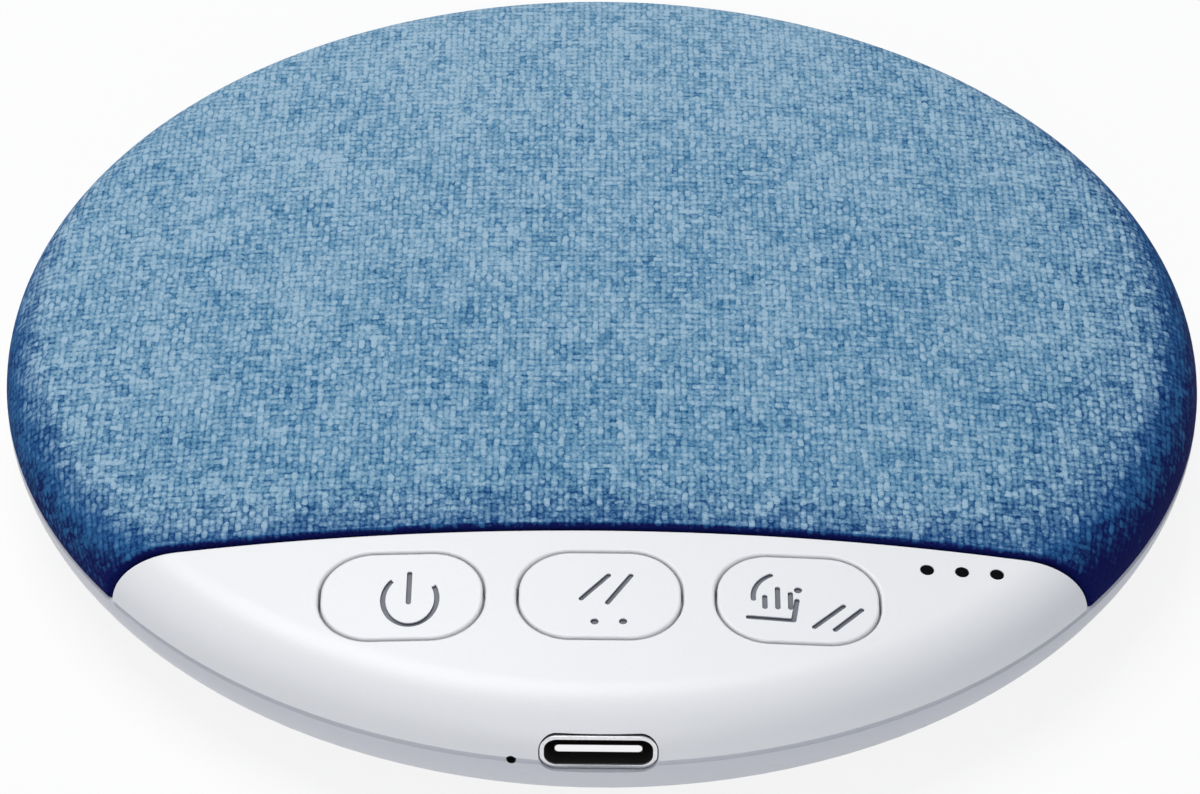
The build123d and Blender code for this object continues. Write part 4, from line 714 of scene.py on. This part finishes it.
def port_steel():
    """The port's shell: bright metal at the mouth and painted black shade inside it."""
    material, tree, shader = finish("port_steel", colour(222, 223, 226), 0.24, 1.0)
    at = place_on(tree)
    _, y, _ = axes_of(tree, at)
    # Painted shade: more than a tenth of a millimetre behind the mouth the shell is coloured black and is
    # not metallic.
    port_painted_shade = y.above(PORT_MOUTH_Y + BRIGHT_DEPTH, 0.06 * MM)
    drawn = node(tree, "ShaderNodeMapping", None, {"Vector": at, "Scale": (900, 60, 900)})
    brushed = noise(tree, drawn, 4, 3)
    rim = mix(tree, brushed, colour(206, 207, 211), colour(240, 241, 244))
    feed(tree, shader, Base_Color=mix(tree, port_painted_shade, rim, colour(8, 8, 9)), Metallic=1 - port_painted_shade,
         Normal=bump(tree, brushed, 0.004 * MM), Roughness=port_painted_shade * 0.5 + brushed * 0.15 + 0.14)
    return material


def port_tongue():
    """The port's tongue: black, with a painted highlight as a bright rounded bar on its metal front edge.
    """
    material, tree, shader = finish("port_tongue", colour(12, 12, 13), 0.45)
    at = place_on(tree)
    x, y, z = axes_of(tree, at)
    # Painted highlight: the tongue's metal front edge is coloured near white in a rounded bar.
    past_end = (x.maths("ABSOLUTE") - (TONGUE_HALF_WIDTH - TONGUE_HALF_HEIGHT)).maths("MAXIMUM", 0)
    reach = (past_end ** 2 + (z - TONGUE_MIDDLE_Z) ** 2).maths("SQRT")
    on_front = 1 - y.above(TONGUE_FRONT_Y + 0.04 * MM, 0.02 * MM)
    tongue_painted_highlight = (1 - reach.above(TONGUE_HALF_HEIGHT, 0.03 * MM)) * on_front
    grain = noise(tree, at, 3000, 2)
    feed(tree, shader, Base_Color=mix(tree, tongue_painted_highlight, colour(12, 12, 13), colour(250, 250, 251)), Metallic=tongue_painted_highlight,
         Normal=bump(tree, grain, 0.004 * MM), Roughness=grain * 0.1 + 0.4 - tongue_painted_highlight * 0.1)
    return material


print("special finishes ready")

# %% [markdown]
# Now each solid gets its finish through its own material slots. The names after each finish are the
# solids' own, and the last line prints any that were left out.


# %% Dress the solids
def dress(material, *names):
    """Assigns a material to every slot of the named solids."""
    for name in names:
        for slot in nodes[name].material_slots:
            slot.material = material
    dressed.update(names)


dressed = {"fabric_cover"}
dress(panel_white, "control_panel")
dress(base_white, "base_shell")
for key in KEY_XS:
    dress(key_finishes[key], key)
dress(moulding("grille_black", colour(52, 54, 62), 0.6), "grille_dome")
dress(moulding("smoked_window", colour(4, 4, 6), 0.5, 0.003 * MM, Specular_IOR_Level=0.02), "light_guide")
dress(moulding("lamp_resin", colour(238, 234, 214), 0.2, 0.004 * MM), "indicator_lamps")
dress(moulding("switch_black", colour(34, 34, 36), 0.4), "switch_housings")
dress(moulding("plunger_grey", colour(120, 121, 124), 0.5), "power_plunger", "sound_plunger",
      "track_plunger")
dress(port_steel(), "usb_shell")
dress(port_tongue(), "usb_tongue")
dress(plated_metal("contact_gold", colour(226, 190, 110), 0.24, (1, 10, 1)), "usb_contacts")
dress(circuit_board("main_laminate", colour(22, 84, 52)), "main_board")
dress(circuit_board("small_laminate", colour(20, 74, 48)), "battery_board", "speaker_terminal")
dress(moulding("chip_epoxy", colour(36, 36, 38), 0.55, 0.014 * MM), "processor", "flash_memory",
      "amplifier", "charging_chip", "inductor")
dress(plated_metal("drawn_can", colour(196, 198, 202), 0.34, (12, 1, 1)), "wireless_module")
dress(soft_rubber("microphone_felt", colour(14, 14, 15)), "microphone")
dress(moulding("fired_ceramic", colour(168, 128, 88), 0.35), "capacitors")
dress(moulding("natural_nylon", colour(232, 226, 206), 0.42), "battery_socket", "speaker_socket",
      "battery_plug", "speaker_plug")
dress(scrim_tape(), "battery_tape")
dress(creased_foil(), "battery_cell")
dress(moulding("red_insulation", colour(190, 30, 26), 0.4, 0.004 * MM), "battery_lead_red",
      "speaker_lead_red")
dress(moulding("black_insulation", colour(26, 26, 28), 0.4, 0.004 * MM), "battery_lead_black",
      "speaker_lead_black")
dress(soft_rubber("closed_foam", colour(40, 40, 42)), "speaker_pad", "speaker_gasket")
dress(plated_metal("zinc_plate", colour(176, 178, 184), 0.36, (1, 1, 10)), "speaker_yoke", "speaker_magnet",
      "pole_plate")
dress(moulding("basket_black", colour(40, 40, 43), 0.5), "speaker_basket")
dress(wound_wire(), "voice_coil")
dress(pressed_pulp(), "speaker_cone", "dust_cap")
dress(soft_rubber("surround_rubber", colour(34, 34, 36)), "speaker_surround")
dress(plated_metal("screw_zinc", colour(184, 186, 190), 0.32, (1, 1, 8)), "case_screws", "panel_screws",
      "speaker_screws", "board_screws")
dress(soft_rubber("foot_rubber", colour(186, 188, 194)), "rubber_feet")
print("undressed:", sorted(set(nodes) - dressed))

# %% [markdown]
# The floor is plain and pale. Seen by the camera or in a reflection, most of its light is its own, so it
# is nearly white and only a soft shadow shows under the disc. A wide lamp overhead stands in for a studio
# softbox, a weaker one fills in from the front, and the world adds a faint bluish light from all round.
# Seen directly, the world is white.

# %% Floor, lamps and world
FLOOR_HALF = 1.5
FLOOR_OWN_LIGHT = 0.86
FLOOR_WHITE = colour(238, 238, 240)
OWN_WHITE = (1.0, 1.0, 1.0, 1.0)
SKY_TINT, SKY_STRENGTH = (0.60, 0.72, 1.0, 1.0), 0.21
LAMP_TINT = (1.0, 0.99, 0.965)

floor_shape = bmesh.new()
bmesh.ops.create_grid(floor_shape, x_segments=1, y_segments=1, size=FLOOR_HALF)
floor_mesh = bpy.data.meshes.new("floor")
floor_shape.to_mesh(floor_mesh)
floor_shape.free()
floor = bpy.data.objects.new("floor", floor_mesh)
bpy.context.scene.collection.objects.link(floor)


def seen_directly(tree):
    """1 for camera, mirror and glass rays, and 0 for the light that the surface sends to others."""
    kinds = ("Is Camera Ray", "Is Glossy Ray", "Is Transmission Ray")
    camera, glossy, glass = (node(tree, "ShaderNodeLightPath", output=kind) for kind in kinds)
    return camera.maths("MAXIMUM", glossy).maths("MAXIMUM", glass)


floor_white, floor_tree, floor_shader = finish("floor_white", FLOOR_WHITE, 0.9)
own_light = node(floor_tree, "ShaderNodeEmission", None, {"Color": OWN_WHITE, "Strength": 1.0})
share = seen_directly(floor_tree) * FLOOR_OWN_LIGHT
shown = node(floor_tree, "ShaderNodeMixShader", None,
             {0: share, 1: Wire(floor_tree, floor_shader.outputs[0]), 2: own_light})
floor_tree.links.new(shown.socket, floor_tree.nodes["Material Output"].inputs["Surface"])
floor_mesh.materials.append(floor_white)

world = bpy.data.worlds.new("studio")
bpy.context.scene.world = world
world.use_nodes = True
sky = world.node_tree
fill = node(sky, "ShaderNodeBackground", None, {"Color": SKY_TINT, "Strength": SKY_STRENGTH})
white = node(sky, "ShaderNodeBackground", None, {"Color": OWN_WHITE, "Strength": 1.0})
around = node(sky, "ShaderNodeMixShader", None, {0: seen_directly(sky), 1: fill, 2: white})
sky.links.new(around.socket, sky.nodes["World Output"].inputs["Surface"])


def softbox(name, place, size, power):
    """A square lamp that faces the origin."""
    lamp = bpy.data.lights.new(name, "AREA")
    lamp.shape, lamp.size, lamp.energy = "SQUARE", size, power
    lamp.color = LAMP_TINT
    held = bpy.data.objects.new(name, lamp)
    held.location = place
    held.rotation_euler = (-Vector(place)).to_track_quat("-Z", "Y").to_euler()
    bpy.context.scene.collection.objects.link(held)


softbox("overhead", (-0.17, 0.20, 0.84), size=0.6, power=6.6)
softbox("front_fill", (-0.04, -0.84, 0.26), size=0.5, power=1.9)
print("floor, world and two lamps")

# %% [markdown]
# The camera looks down at the disc from the front. Its place is given by the point it looks at, the
# middle of the parting line, and by a distance and an angle. The aim is a little off that point, and the
# camera leans by half a degree.

# %% Camera
IMAGE_WIDTH = 1200
FOCAL_PIXELS = 4737.7
SENSOR_WIDTH = 36.0
VIEW_DISTANCE = 0.4
VIEW_ELEVATION = radians(38.216)
VIEW_LEAN = radians(0.538)
AIM_OFFSET = (2.16, 38.4)

forward = Vector((0, cos(VIEW_ELEVATION), -sin(VIEW_ELEVATION)))
level_up = Vector((0, sin(VIEW_ELEVATION), cos(VIEW_ELEVATION)))
level_right = Vector((1, 0, 0))
right = level_right * cos(VIEW_LEAN) + level_up * sin(VIEW_LEAN)
up = level_up * cos(VIEW_LEAN) - level_right * sin(VIEW_LEAN)
aim = (forward * FOCAL_PIXELS - right * AIM_OFFSET[0] - up * AIM_OFFSET[1]).normalized()
right = (right - aim * right.dot(aim)).normalized()
up = right.cross(aim)

lens = bpy.data.cameras.new("view")
lens.sensor_fit, lens.sensor_width = "HORIZONTAL", SENSOR_WIDTH
lens.lens = FOCAL_PIXELS / IMAGE_WIDTH * SENSOR_WIDTH
lens.clip_start, lens.clip_end = 0.01, 20
camera = bpy.data.objects.new("view", lens)
turned = Matrix((right, up, -aim)).transposed().to_4x4()
camera.matrix_world = Matrix.Translation(Vector((0, 0, SEAM_HEIGHT)) - forward * VIEW_DISTANCE) @ turned
bpy.context.scene.collection.objects.link(camera)
bpy.context.scene.camera = camera
bpy.context.scene.view_settings.view_transform = "Standard"
print("lens:", round(lens.lens, 2), "mm")

# %% [markdown]

# %% Update the scene
bpy.context.view_layer.update()
